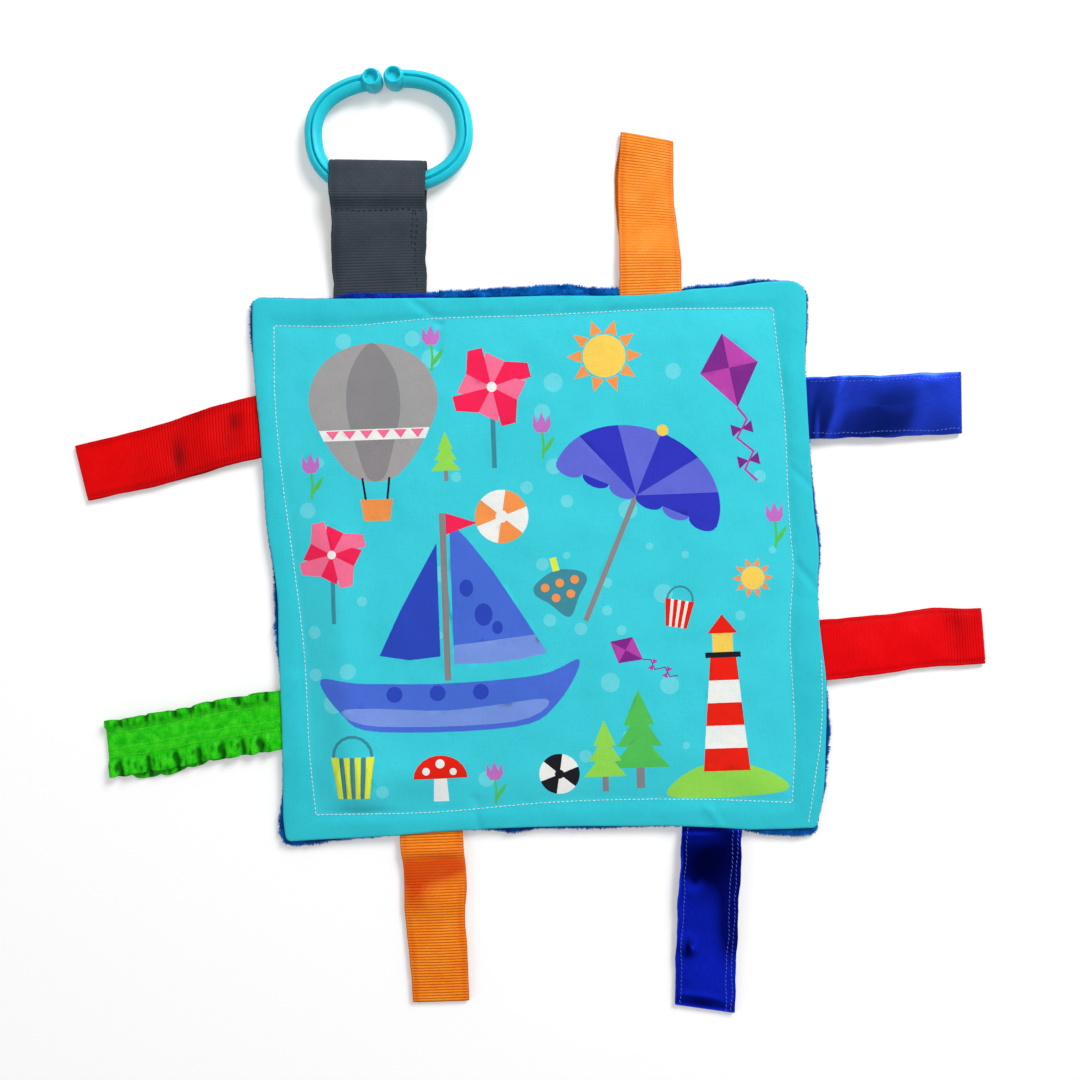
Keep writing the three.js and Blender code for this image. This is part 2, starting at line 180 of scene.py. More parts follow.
lamps = {
    "key_lamp": {"place": (0.58, 0.73, 0.91), "size": 0.51, "power": 14.8},
    "fill_lamp": {"place": (-1.2, -0.3, 1.2), "size": 1.0, "power": 4},
}
for name, lamp in lamps.items():
    lamp_data = bpy.data.lights.new(name, "AREA")
    lamp_data.size = lamp["size"]
    lamp_data.energy = lamp["power"]
    lamp_object = bpy.data.objects.new(name, lamp_data)
    lamp_object.location = lamp["place"]
    lamp_object.rotation_euler = (-Vector(lamp["place"])).to_track_quat("-Z", "Y").to_euler()
    bpy.context.scene.collection.objects.link(lamp_object)

# Plush back
# A square of short-pile plush, its edges turned in by 7 mm and sewn to the print. The cloth is
# fuller than the cotton, so it rolls out a little beyond the printed edge.
half_width = 101.6
half_length = 100.5
corner_radius = {"bottom_right": 1.6, "top_right": 6, "top_left": 3, "bottom_left": 2}
# How far each side runs out of the straight: (place along the side, drift), in millimetres.
left_drift = [
    (-100.5, 3.5), (-94, 2.7), (-80, 2.9), (-58, 3.4), (-30, 3.1), (-8, 3.2), (2, 2.2), (12, 0.8),
    (38, -0.4), (53, -1.0), (68, -2.0), (84, -2.5), (100.5, -2.0),
]
right_drift = [
    (-100.5, -3.1), (-94, -1.3), (-87, 0.1), (-73, 1.3), (-58, 2.2), (-45, 2.3), (-40, 1.9),
    (-26, 0.7), (-12, 0.6), (2, 1.5), (14, 0.4), (31, -0.3), (55, -1.0), (72, -1.1), (88, 0),
    (100.5, 0.2),
]
top_drift = [
    (-101.6, 1.9), (-84, 0.9), (-62, 0.1), (-39, -0.5), (-20, -1.0), (12, -1.4), (34, -2.2),
    (49, -2.0), (60, -0.8), (74, -0.3), (86, 1.0), (101.6, 0.9),
]
bottom_drift = [
    (-101.6, 0.8), (-91, 1.1), (-65, 1.5), (-46, 2.5), (-25, 2.9), (10, 2.7), (30, 2.0),
    (50, 1.4), (63, 0.5), (76, -0.7), (86, -1.0), (101.6, -1.0),
]
corner_steps = 8
side_steps = 112
hem = 7.2


def smooth_through(stations, where):
    """A smooth curve through a list of (place, value), read at the places where."""
    place, value = np.array(stations, float).T
    slope = np.gradient(value, place)
    where = np.clip(np.asarray(where, float), place[0], place[-1])
    i = np.clip(np.searchsorted(place, where) - 1, 0, len(place) - 2)
    span = place[i + 1] - place[i]
    t = (where - place[i]) / span
    rise = value[i] * (1 + 2 * t) * (1 - t) ** 2 + value[i + 1] * t * t * (3 - 2 * t)
    lean = slope[i] * t * (1 - t) ** 2 - slope[i + 1] * t * t * (1 - t)
    return rise + span * lean


def sewn_place(u, v):
    """Moves points of the true rectangle to the sewn square, which drifts along its sides."""
    u, v = np.asarray(u, float), np.asarray(v, float)
    across = (1 + u / half_width) / 2
    up = (1 + v / half_length) / 2
    x = u + smooth_through(left_drift, v) * (1 - across) + smooth_through(right_drift, v) * across
    y = v + smooth_through(bottom_drift, u) * (1 - up) + smooth_through(top_drift, u) * up
    return np.stack([x, y], -1)


def square_ring(inset):
    """Points round the square at a distance inside its edge, as many for every inset."""
    corners = [
        ("bottom_right", 1, -1, -90), ("top_right", 1, 1, 0),
        ("top_left", -1, 1, 90), ("bottom_left", -1, -1, 180),
    ]
    points = []
    for name, sx, sy, start in corners:
        radius = max(corner_radius[name] - inset, 0.3)
        cx = sx * (half_width - inset - radius)
        cy = sy * (half_length - inset - radius)
        for i in range(corner_steps + 1):
            a = math.radians(start + 90 * i / corner_steps)
            points.append((cx + radius * math.cos(a), cy + radius * math.sin(a)))
    ring = []
    for k in range(4):
        ring += points[k * (corner_steps + 1):(k + 1) * (corner_steps + 1)]
        here = np.array(ring[-1])
        there = np.array(points[(k + 1) * (corner_steps + 1) % len(points)])
        ring += [tuple(here + (there - here) * i / side_steps) for i in range(1, side_steps)]
    ring = np.array(ring)
    return sewn_place(ring[:, 0], ring[:, 1])


def unit(vectors):
    """Each vector at a length of one."""
    return vectors / np.linalg.norm(vectors, axis=1)[:, None]


def right_of(loop):
    """The direction to the right of a closed line, at each of its points."""
    ahead = np.roll(loop, -1, 0) - np.roll(loop, 1, 0)
    return unit(np.stack([ahead[:, 1], -ahead[:, 0]], -1))


def ease(x):
    """A soft step from 0 to 1."""
    t = np.clip(x, 0, 1)
    return t * t * (3 - 2 * t)


edge_line = square_ring(0)
edge_outward = right_of(edge_line)
seam_height = 3.1
seam_parting = 0.5

# The tags' places along the seam come from their joints.
tag_joints = {j["child"]: j for j in frame["joints"] if j["parent"] == "square"}


def seam_lift(points):
    """How far each panel gives way round the ribbons' ends, in millimetres."""
    rise = np.zeros(len(points))
    for name in tag_joints:
        low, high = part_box(name + "_sewn_end")
        half = np.array(high - low)[:2] / mm / 2
        middle = np.array(high + low)[:2] / mm / 2
        off = np.max(np.abs(points - middle) - half, axis=1)
        rise = np.maximum(rise, ease(1 - (off - 2) / 6))
    return seam_parting * rise


# How far the plush rolls out beyond the print: (x or y of the place, width), for each side.
plush_show = {
    "top": [
        (-102, 0.5), (-80, 0.5), (-70, 0.7), (-44, 1.6), (-39, 2.6), (-30, 3.1), (-17, 3.6),
        (0, 4.0), (12.8, 4.5), (18, 4.1), (23, 3.4), (33, 3.1), (38, 1.6), (54, 1.3), (60, 1.6),
        (70, 1.6), (80, 1.9), (86, 1.5), (92, 0.6), (104, 0.5),
    ],
    "bottom": [
        (-104, 2.6), (-97, 2.4), (-85, 1.8), (-73, 0.9), (-60, 0.6), (-34, 0.6), (-22, 1.1),
        (-14, 2.2), (-6, 1.3), (4, 1.3), (15, 1.5), (28, 0.9), (46, 0.7), (71, 0.9), (79, 2.2),
        (89, 3.0), (103, 3.1),
    ],
    "left": [
        (-104, 2.4), (-96, 2.4), (-90, 1.9), (-84, 1.0), (-60, 0.5), (-34, 0.7), (-26, 1.5),
        (-10, 1.6), (0, 0.9), (30, 0.5), (70, 0.5), (84, 0.8), (90, 1.4), (97, 1.4), (103, 0.8),
    ],
    "right": [
        (-104, 0.3), (-96, 0.4), (-88, 1.0), (-80, 1.3), (-66, 1.9), (-54, 1.0), (-46, 0.6),
        (-24, 0.5), (-8, 0.8), (10, 1.4), (24, 1.0), (40, 0.7), (68, 0.5), (82, 1.0), (103, 1.0),
    ],
}


def plush_width(points, outward):
    """How far the plush stands out beyond the printed edge at points of that edge."""
    x, y = points[:, 0], points[:, 1]
    by_x = np.where(
        outward[:, 1] > 0,
        smooth_through(plush_show["top"], x),
        smooth_through(plush_show["bottom"], x),
    )
    by_y = np.where(
        outward[:, 0] > 0,
        smooth_through(plush_show["right"], y),
        smooth_through(plush_show["left"], y),
    )
    share = outward[:, 1] ** 2
    return by_x * share + by_y * (1 - share)


def mesh_of(name, points, faces):
    """A mesh object from points in millimetres."""
    mesh = bpy.data.meshes.new(name)
    mesh.from_pydata((np.asarray(points) * mm).tolist(), [], faces)
    mesh.update()
    piece = bpy.data.objects.new(name, mesh)
    bpy.context.scene.collection.objects.link(piece)
    return piece


def only(piece):
    """Selects one piece and makes it the active one."""
    bpy.ops.object.select_all(action="DESELECT")
    piece.select_set(True)
    bpy.context.view_layer.objects.active = piece


def smooth_shaded(piece):
    """Shades a piece smoothly all over."""
    piece.data.polygons.foreach_set("use_smooth", [True] * len(piece.data.polygons))
    return piece


def faces_outward(piece):
    """Turns every face of a closed piece outwards."""
    only(piece)
    bpy.ops.object.mode_set(mode="EDIT")
    bpy.ops.mesh.select_all(action="SELECT")
    bpy.ops.mesh.normals_make_consistent(inside=False)
    bpy.ops.object.mode_set(mode="OBJECT")


def thicken(piece, thickness, offset):
    """Gives a sheet its thickness: offset 0 to both sides, and -1 to the back."""
    only(piece)
    wall = piece.modifiers.new("thickness", "SOLIDIFY")
    wall.thickness = thickness * mm
    wall.offset = offset
    bpy.ops.object.modifier_apply(modifier=wall.name)


def stitched_strips(rings):
    """Faces that join rings of points, numbered one ring after another."""
    count = len(rings[0])
    faces = []
    for r in range(len(rings) - 1):
        for i in range(count):
            j = (i + 1) % count
            faces.append((r * count + i, r * count + j, (r + 1) * count + j, (r + 1) * count + i))
    return faces


def at_height(ring, height):
    """Points of the plane at one height, or each at its own."""
    return np.column_stack([ring, np.broadcast_to(height, len(ring))])


def far_from(points, others, distance):
    """The points that lie at least that far from all the others."""
    tree = kdtree.KDTree(len(others))
    for i, (x, y) in enumerate(others):
        tree.insert((x, y, 0), i)
    tree.balance()
    keep = [p for p in points if tree.find((p[0], p[1], 0))[2] >= distance]
    return np.array(keep)


def inside_of(points, loop):
    """Which points lie inside a closed line, by counting crossings."""
    x, y = points[:, 0], points[:, 1]
    inside = np.zeros(len(points), bool)
    for (x0, y0), (x1, y1) in zip(loop, np.roll(loop, -1, 0)):
        if y0 != y1:
            crosses = ((y0 > y) != (y1 > y)) & (x < (x1 - x0) * (y - y0) / (y1 - y0) + x0)
            inside ^= crosses
    return inside


def lay_cloth(border, loops, extra, spacing):
    """Triangles that fill a border, with edges along closed loops and points at the extras."""
    low, high = border.min(0), border.max(0)
    xs = np.arange(low[0], high[0], spacing)
    ys = np.arange(low[1], high[1], spacing)
    grid = np.array([(x + (j % 2) * spacing / 2, y) for j, y in enumerate(ys) for x in xs])
    grid = grid[inside_of(grid, border)]
    fixed = [border, *loops]
    lines = np.vstack(fixed)
    if len(extra):
        extra = far_from(extra, lines, 0.3)
        grid = far_from(grid, np.vstack([lines, extra]), spacing * 0.55)
        free = np.vstack([extra, grid])
    else:
        free = far_from(grid, lines, spacing * 0.55)
    points, edges = [], []
    for loop in fixed:
        first = len(points)
        points += [Vector(p) for p in loop]
        edges += [(first + i, first + (i + 1) % len(loop)) for i in range(len(loop))]
    points += [Vector(p) for p in free]
    found = geometry.delaunay_2d_cdt(points, edges, [], 1, 1e-4, True)
    places = np.array([tuple(p) for p in found[0]])
    where = {}
    for new, old in enumerate(found[3]):
        for number in old:
            where[number] = new
    rim = [where[i] for i in range(len(border))]
    faces = np.array([tuple(f) for f in found[2]])
    faces = faces[inside_of(places[faces].mean(1), border)]
    return places, [tuple(int(i) for i in f) for f in faces], rim


def noise_at(points, scale, seed, depth=2):
    """Smooth noise between about -1 and 1 over the points of the square."""
    shift = Vector((seed * 17.3, seed * 5.1, seed * 2.7))
    values = [
        noise.fractal(Vector((x / scale, y / scale, 0)) + shift, 1.0, 2.0, depth)
        for x, y in points[:, :2]
    ]
    return np.array(values)


plush_thickness = 0.9
plush_pile = 1.3
roll_height = 1.6
# The cloth in section, from the turned-in edge round to the underside: how far inside the seam
# it lies, and how high. None stands for the roll outside the seam.
plush_profile = [
    (hem, 2.35), (3.5, 2.4), (1.4, 2.4), (0.5, 2.25), (None, roll_height), (0.5, 0.9),
    (1.6, 0.62), (5, 0.6), (8, 0.75), (9.2, 1.25), (10, 1.25), (11.2, 0.75), (14, 0.55),
]
width_here = plush_width(edge_line, edge_outward)
pile_here = np.clip(0.3 + 0.6 * width_here, 0.45, plush_pile)
plush_out = np.maximum(width_here - 0.75 * pile_here, 0.1)
plush_rings = []
for inset, height in plush_profile:
    if inset is None:
        ring = edge_line + edge_outward * plush_out[:, None]
    else:
        share = max(0, 1 - inset / 3)
        ring = square_ring(inset) + edge_outward * (plush_out * share)[:, None]
    sink = seam_lift(ring) if height > roll_height else 0
    plush_rings.append(at_height(ring, height - sink))
inner_ring = plush_rings[-1][:, :2]
plush_places, plush_faces, plush_rim = lay_cloth(inner_ring, [], [], 5)
plush_level = plush_profile[-1][1] + 0.12 * noise_at(plush_places, 18, 4)
plush_level[plush_rim] = plush_profile[-1][1]
first_of_rim = len(inner_ring) * (len(plush_rings) - 1)
first_inside = first_of_rim + len(inner_ring)
renumber = {rim: first_of_rim + i for i, rim in enumerate(plush_rim)}
plush_inside = []
for i, (x, y) in enumerate(plush_places):
    if i not in renumber:
        renumber[i] = first_inside + len(plush_inside)
        plush_inside.append((x, y, plush_level[i]))
plush_points = np.vstack([*plush_rings, np.array(plush_inside)])
plush_all = [tuple(reversed(f)) for f in stitched_strips(plush_rings)]
plush_all += [tuple(renumber[i] for i in reversed(f)) for f in plush_faces]
plush = mesh_of("plush_back", plush_points, plush_all)
thicken(plush, plush_thickness, 0)
faces_outward(plush)
smooth_shaded(plush)


def new_material(name):
    """A material with its surface shader, nodes and links."""
    material = bpy.data.materials.new(name)
    material.use_nodes = True
    tree = material.node_tree
    return material, tree.nodes["Principled BSDF"], tree.nodes, tree.links


def texture_place(nodes, links, scale, layer=None):
    """Texture coordinates in metres times scale: the object's own, or a layer of its mesh."""
    mapping = nodes.new("ShaderNodeMapping")
    mapping.inputs["Scale"].default_value = scale
    coordinates = nodes.new("ShaderNodeUVMap" if layer else "ShaderNodeTexCoord")
    if layer:
        coordinates.uv_map = layer
    links.new(coordinates.outputs["UV" if layer else "Object"], mapping.inputs["Vector"])
    return mapping.outputs["Vector"]


def noise_texture(nodes, links, place, scale, detail=3.0, roughness=0.55):
    """Cloudy noise from 0 to 1."""
    texture = nodes.new("ShaderNodeTexNoise")
    set_sockets(texture, {"Scale": scale, "Detail": detail, "Roughness": roughness})
    links.new(place, texture.inputs["Vector"])
    return texture.outputs["Fac"]


def ramp(nodes, links, factor, stops):
    """A colour ramp through (position, colour) stops."""
    node = nodes.new("ShaderNodeValToRGB")
    elements = node.color_ramp.elements
    elements[0].position, elements[0].color = stops[0]
    elements[1].position, elements[1].color = stops[-1]
    for position, colour in stops[1:-1]:
        elements.new(position).color = colour
    links.new(factor, node.inputs["Fac"])
    return node.outputs["Color"]


def bump(nodes, links, surface, height, strength, distance):
    """A fine grain in the shading, on top of the real shape."""
    node = nodes.new("ShaderNodeBump")
    set_sockets(node, {"Strength": strength, "Distance": distance})
    links.new(height, node.inputs["Height"])
    links.new(node.outputs["Normal"], surface.inputs["Normal"])


def plush_material(name, dark, light):
    """Deep blue polyester pile in cloudy patches of a darker and a lighter blue, with a soft sheen.
    """
    material, surface, nodes, links = new_material(name)
    place = texture_place(nodes, links, (1, 1, 1))
    patches = noise_texture(nodes, links, place, 160, 4)
    colour = ramp(nodes, links, patches, [(0.35, dark), (0.65, light)])
    links.new(colour, surface.inputs["Base Color"])
    set_sockets(surface, {
        "Roughness": 0.85, "Specular IOR Level": 0.1, "Sheen Weight": 0.4, "Sheen Roughness": 0.4,
        "Sheen Tint": colour_of(40, 150, 240),
    })
    fine = noise_texture(nodes, links, place, 1500, 4)
    bump(nodes, links, surface, fine, 0.5, 0.3 * mm)
    return material


plush.data.materials.append(
    plush_material("blue_plush_ground", colour_of(0, 96, 184), colour_of(10, 134, 222))
)
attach(plush, "square")
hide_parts("back_panel")


def pile_of(name, roots, directions, lengths, widths, material, lean=0.0):
    """Tufts of pile: each a bent, pointed blade with three sides, closed at its root."""
    directions = unit(directions)
    helper = np.where(np.abs(directions[:, 2:3]) > 0.9, [[1.0, 0, 0]], [[0, 0, 1.0]])
    side = unit(np.cross(directions, helper))
    other = np.cross(directions, side)
    middle = roots + directions * (lengths * 0.55)[:, None] + lean * 0.25
    tip = roots + directions * lengths[:, None] + lean
    corners = []
    for base, size in ((roots, 1.0), (middle, 0.85)):
        for k in range(3):
            a = 2 * math.pi * k / 3
            reach = (widths * size)[:, None]
            corners.append(base + (side * math.cos(a) + other * math.sin(a)) * reach)
    points = np.stack([*corners, tip], 1).reshape(-1, 3)
    points[:, 2] = np.maximum(points[:, 2], 0.05)
    pattern = [(2, 1, 0), (0, 1, 4, 3), (1, 2, 5, 4), (2, 0, 3, 5), (3, 4, 6), (4, 5, 6), (5, 3, 6)]
    faces = [tuple(7 * n + i for i in face) for n in range(len(roots)) for face in pattern]
    pile = smooth_shaded(mesh_of(name, points, faces))
    pile.data.materials.append(material)
    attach(pile, "square")
    return pile


# Tufts all along the rolled edge, from its underside up to the print.
random_pile = np.random.default_rng(7)
edge_length = np.linalg.norm(np.roll(edge_line, -1, 0) - edge_line, axis=1)


def along_the_edge(number, weights):
    """Random places along the edge: foot, outward direction, width, pile and roll of the plush."""
    weights = weights * edge_length
    pick = random_pile.choice(len(edge_line), number, p=weights / weights.sum())
    share = random_pile.random(number)
    following = (pick + 1) % len(edge_line)

    def between(values):
        part = share if values.ndim == 1 else share[:, None]
        return values[pick] * (1 - part) + values[following] * part

    outward = unit(between(edge_outward))
    return between(edge_line), outward, between(pile_here), between(plush_out)


edge_tufts = 9500
foot, outward, pile, rolled_out = along_the_edge(edge_tufts, 0.9 + width_here)
tilt = np.radians(random_pile.uniform(-80, 72, edge_tufts))
reach = rolled_out - 0.75 + (0.55 + 0.45 * np.cos(tilt))
roots = np.column_stack([foot + outward * reach[:, None], 1.55 + 0.75 * np.sin(tilt)])
directions = np.column_stack([outward * np.cos(tilt * 0.8)[:, None], np.sin(tilt * 0.8)])
directions += random_pile.normal(0, 0.3, directions.shape)
clump = noise_at(foot, 2.4, 9)
lengths = pile * (0.9 + 0.6 * clump + random_pile.uniform(-0.25, 0.3, edge_tufts))
widths = random_pile.uniform(0.08, 0.15, edge_tufts)

# Where the plush rolls out furthest, its pile stands up all over the strip that shows.
strip_tufts = 9000
strip_weights = np.maximum(width_here - 0.7, 0) ** 1.3
foot, outward, pile, rolled_out = along_the_edge(strip_tufts, strip_weights)
share = random_pile.random(strip_tufts)
roots = np.vstack([roots, np.column_stack([
    foot + outward * (share * rolled_out)[:, None], 2.75 - 0.5 * share ** 2,
])])
rising = random_pile.uniform(0.1, 0.9, strip_tufts)
strip_directions = np.column_stack([outward, rising])
strip_directions += random_pile.normal(0, 0.35, strip_directions.shape)
directions = np.vstack([directions, strip_directions])
clump = noise_at(foot, 2.0, 15)
strip_lengths = pile * (0.95 + 0.8 * clump + random_pile.uniform(-0.3, 0.4, strip_tufts))
lengths = np.clip(np.append(lengths, strip_lengths), 0.4, 2.3)
widths = np.append(widths, random_pile.uniform(0.08, 0.14, strip_tufts))
droop = np.zeros((len(lengths), 3))
droop[:, 2] = -0.18 * lengths
pile_material = plush_material("blue_plush_pile", colour_of(0, 82, 176), colour_of(16, 142, 236))
edge_pile = pile_of("plush_edge_pile", roots, directions, lengths, widths, pile_material, droop)

# The pile of the back's hem shows in front of the wide ribbon, in a deeper and more violet blue.
seam_tufts = 1300
link_low, link_high = (np.array(corner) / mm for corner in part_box("link_tag_sewn_end"))
seam_left, seam_right = link_low[0], link_high[0]
seam_x = random_pile.uniform(seam_left + 0.5, seam_right + 4, seam_tufts)
seam_share = np.interp(
    seam_x, [seam_left, seam_left + 7, seam_right - 4, seam_right + 4], [0.15, 1, 0.9, 0.4],
)
top_edge = edge_line[edge_outward[:, 1] > 0.9]
top_edge = top_edge[np.argsort(top_edge[:, 0])]
seam_y = np.interp(seam_x, top_edge[:, 0], top_edge[:, 1])
seam_y += random_pile.uniform(-0.3, 1.0, seam_tufts) * seam_share
roots = np.column_stack([seam_x, seam_y, random_pile.uniform(3.8, 4.2, seam_tufts)])
directions = np.column_stack([
    random_pile.normal(0, 0.5, seam_tufts), np.ones(seam_tufts),
    random_pile.uniform(-0.05, 0.3, seam_tufts),
])
lengths = seam_share * random_pile.uniform(0.8, 1.7, seam_tufts) + 0.2
widths = random_pile.uniform(0.14, 0.22, seam_tufts)
deep_blue_pile_material = plush_material(
    "blue_plush_deep_blue_pile", colour_of(8, 36, 168), colour_of(24, 66, 214)
)
seam_pile = pile_of("plush_seam_pile", roots, directions, lengths, widths, deep_blue_pile_material)

# The underside's pile lies flat in slow swirls. It is drawn up near the corners, where two rows
# of stitches meet.
under_spacing = 1.7
under_margin = 1.5
top_stitch_inset = 9.6
us, vs = np.meshgrid(
    np.arange(-half_width + under_margin, half_width - under_margin, under_spacing),
    np.arange(-half_length + under_margin, half_length - under_margin, under_spacing),
)
grid = np.column_stack([us.ravel(), vs.ravel()])
to_corner = np.max([half_width, half_length] - np.abs(grid), axis=1)
under = grid + random_pile.uniform(-0.6, 0.6, grid.shape)
under = sewn_place(under[:, 0], under[:, 1])
drawn_up = np.exp(-((to_corner - top_stitch_inset) / 0.9) ** 2)
roots = np.column_stack([under, 0.35 + 0.6 * drawn_up])
lie = noise_at(under, 30, 12)
directions = np.column_stack([
    0.9 * np.cos(1.2 * lie), -0.9 + 0.5 * lie, np.full(len(under), -0.08),
])
directions[:, :2] += random_pile.normal(0, 0.3, (len(under), 2))
lengths = random_pile.uniform(1.4, 2.1, len(under))
widths = random_pile.uniform(0.17, 0.26, len(under))
under_pile = pile_of("plush_under_pile", roots, directions, lengths, widths, pile_material)

# Crinkle film
# A sheet of thin clear film between the two cloths, caught in the stitching all round. It was
# crumpled when it went in, so it is all small flat facets and sharp creases.
film_margin = 8.4
film_thickness = 0.05
film_ring = square_ring(film_margin)
film_places, film_faces = lay_cloth(film_ring, [], [], 5)[:2]
film_inset = np.min(np.linalg.norm(film_places[:, None] - film_ring[None, ::3], axis=2), axis=1)
film_rise = np.clip((film_inset - 1.5) / 20, 0, 1)
creases = np.abs(noise_at(film_places, 16, 21, 1)) * 2 - np.abs(noise_at(film_places, 7, 22, 1))
film_height = 2.35 + film_rise * (0.9 + 0.55 * np.clip(creases, -1, 1))
film = mesh_of("crinkle_film_sheet", at_height(film_places, film_height), film_faces)
thicken(film, film_thickness, 0)
film_material, surface, nodes, links = new_material("clear_film")
set_sockets(surface, {
    "Base Color": colour_of(226, 232, 236), "Roughness": 0.18, "Transmission Weight": 0.6,
})
place = texture_place(nodes, links, (1, 1, 1))
bump(nodes, links, surface, noise_texture(nodes, links, place, 240, 5), 0.4, 0.4 * mm)
film.data.materials.append(film_material)
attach(film, "square")
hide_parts("crinkle_film")

# Grosgrain tags
# Lengths of ribbed polyester ribbon, 22 mm wide, folded in half with both ends in the seam. The
# thick weft makes a rib across the ribbon every millimetre, and a flat selvage edges it.
ribbon_thickness = 0.36
rib_pitch = 1.04
sewn_depth = 8.0
ply_gap = 0.3
selvage = 1.3


def ribbon_line(length, bed, half_gap, fold, step):
    """The ribbon's middle line in side view, from one sewn end round the fold to the other:
    its distance s from the hinge, height z, and the direction that faces out of the loop."""
    straight = length - fold - ribbon_thickness
    outward = np.arange(-sewn_depth, straight, 0.05)
    middle = fold + ribbon_thickness / 2
    turn = np.linspace(math.pi / 2, -math.pi / 2, 60)
    s = np.concatenate([outward, straight + middle * np.cos(turn), outward[::-1]])
    z = np.concatenate([
        bed(outward) + half_gap(outward) + ribbon_thickness / 2,
        bed(straight) + middle * np.sin(turn),
        (bed(outward) - half_gap(outward) - ribbon_thickness / 2)[::-1],
    ])
    run = np.concatenate([[0], np.cumsum(np.hypot(np.diff(s), np.diff(z)))])
    along = np.arange(0, run[-1], step)
    s, z = np.interp(along, run, s), np.interp(along, run, z)
    ds, dz = np.gradient(s), np.gradient(z)
    size = np.hypot(ds, dz)
    upper = along < run[-1] / 2
    return {"along": along, "s": s, "z": z, "ns": -dz / size, "nz": ds / size, "upper": upper}


def loop_tag(tag):
    """The side view of a plain folded tag: it leaves the seam and settles on the table."""
    fold = tag.get("fold", 0.8)
    rest = fold + ribbon_thickness + 0.2
    length = tag["length"]

    def bed(s):
        return seam_height + (rest - seam_height) * ease(s / (0.62 * length))

    def gap(s):
        return ply_gap / 2 + (fold - ply_gap / 2) * ease(s / (length - 3))

    tag["line"] = ribbon_line(length, bed, gap, fold, tag["step"])


def wander(s, seed):
    """A slow wavering between about -1 and 1."""
    waves = np.sin(0.27 * s + seed) + 0.5 * np.sin(0.61 * s + 2.3 * seed)
    return (waves + 0.12 * np.sin(1.9 * s + 4.1 * seed)) / 1.6


def painted_dents_at(tag, s, w):
    """How strongly painted shade darkens the ribbon at places along and across it, from 0 to 1."""
    depth = np.zeros(np.broadcast(s, w).shape)
    for at, across, deep, long, wide in tag.get("painted_dents", []):
        depth += deep * np.exp(-((s - at) / long) ** 2 - ((w - across) / wide) ** 2)
    return np.clip(depth, 0, 1)


def on_ribbon(tag, rows, side, lift):
    """Places in millimetres: rows of the ribbon's line, side from -1 to 1 over its width, lift
    out of the loop."""
    line = tag["line"]
    s = line["s"][rows] + line["ns"][rows] * lift
    z = line["z"][rows] + line["nz"][rows] * lift
    share = np.clip(s / tag["length"], 0, 1)
    width = tag["root_width"] + (tag["tip_width"] - tag["root_width"]) * share
    apart = ease((tag["length"] - s) / 12)
    under = np.where(line["upper"][rows], 0.0, apart)
    seed = 3 + np.sign(side) + 5 * (under > 0)
    frayed = np.abs(side) ** 3 * np.sign(side) * ease(s / 3) * apart
    w = side * width / 2 + tag.get("wobble", 0.16) * frayed * wander(s, seed)
    w = w + under * smooth_through(tag.get("under_shift", [(0, 0), (1, 0)]), s)
    rise = np.zeros_like(z + w)
    for at, across, height, long, wide in tag["billows"]:
        rise += height * np.exp(-((s - at) / long) ** 2 - ((w - across) / wide) ** 2)
    if "arch" in tag:
        slanted = s - tag["arch_slant"] * w * apart
        rise = rise + smooth_through(tag["arch"], slanted) * (1 - 0.3 * side ** 2)
    risen = ease((s - tag.get("rise_from", 0)) / tag.get("rise_in", 6))
    rise = np.maximum(rise, -0.05) * (1 - 0.75 * under) * risen
    z = z + rise
    if "ruffle" in tag:
        lifted, spread = tag["ruffle"](s, side, under)
        z, w = z + lifted, w + spread
    reach = s + w * math.tan(math.radians(tag["fold_skew"])) * share
    offset = w + reach * math.tan(math.radians(tag["lean"])) + smooth_through(tag["bow"], s)
    z = np.maximum(z, 0.1 + ribbon_thickness * (line["nz"][rows] * np.sign(lift) > 0.3))
    joint = tag_joints[tag["name"]]
    hinge = np.array(joint["pos_m"][:2]) / mm
    axis = np.array(joint["axis"][:2])
    out = np.array([-axis[1], axis[0]])
    place = hinge + out * reach[..., None] - axis * offset[..., None]
    return np.concatenate([place, z[..., None]], -1)


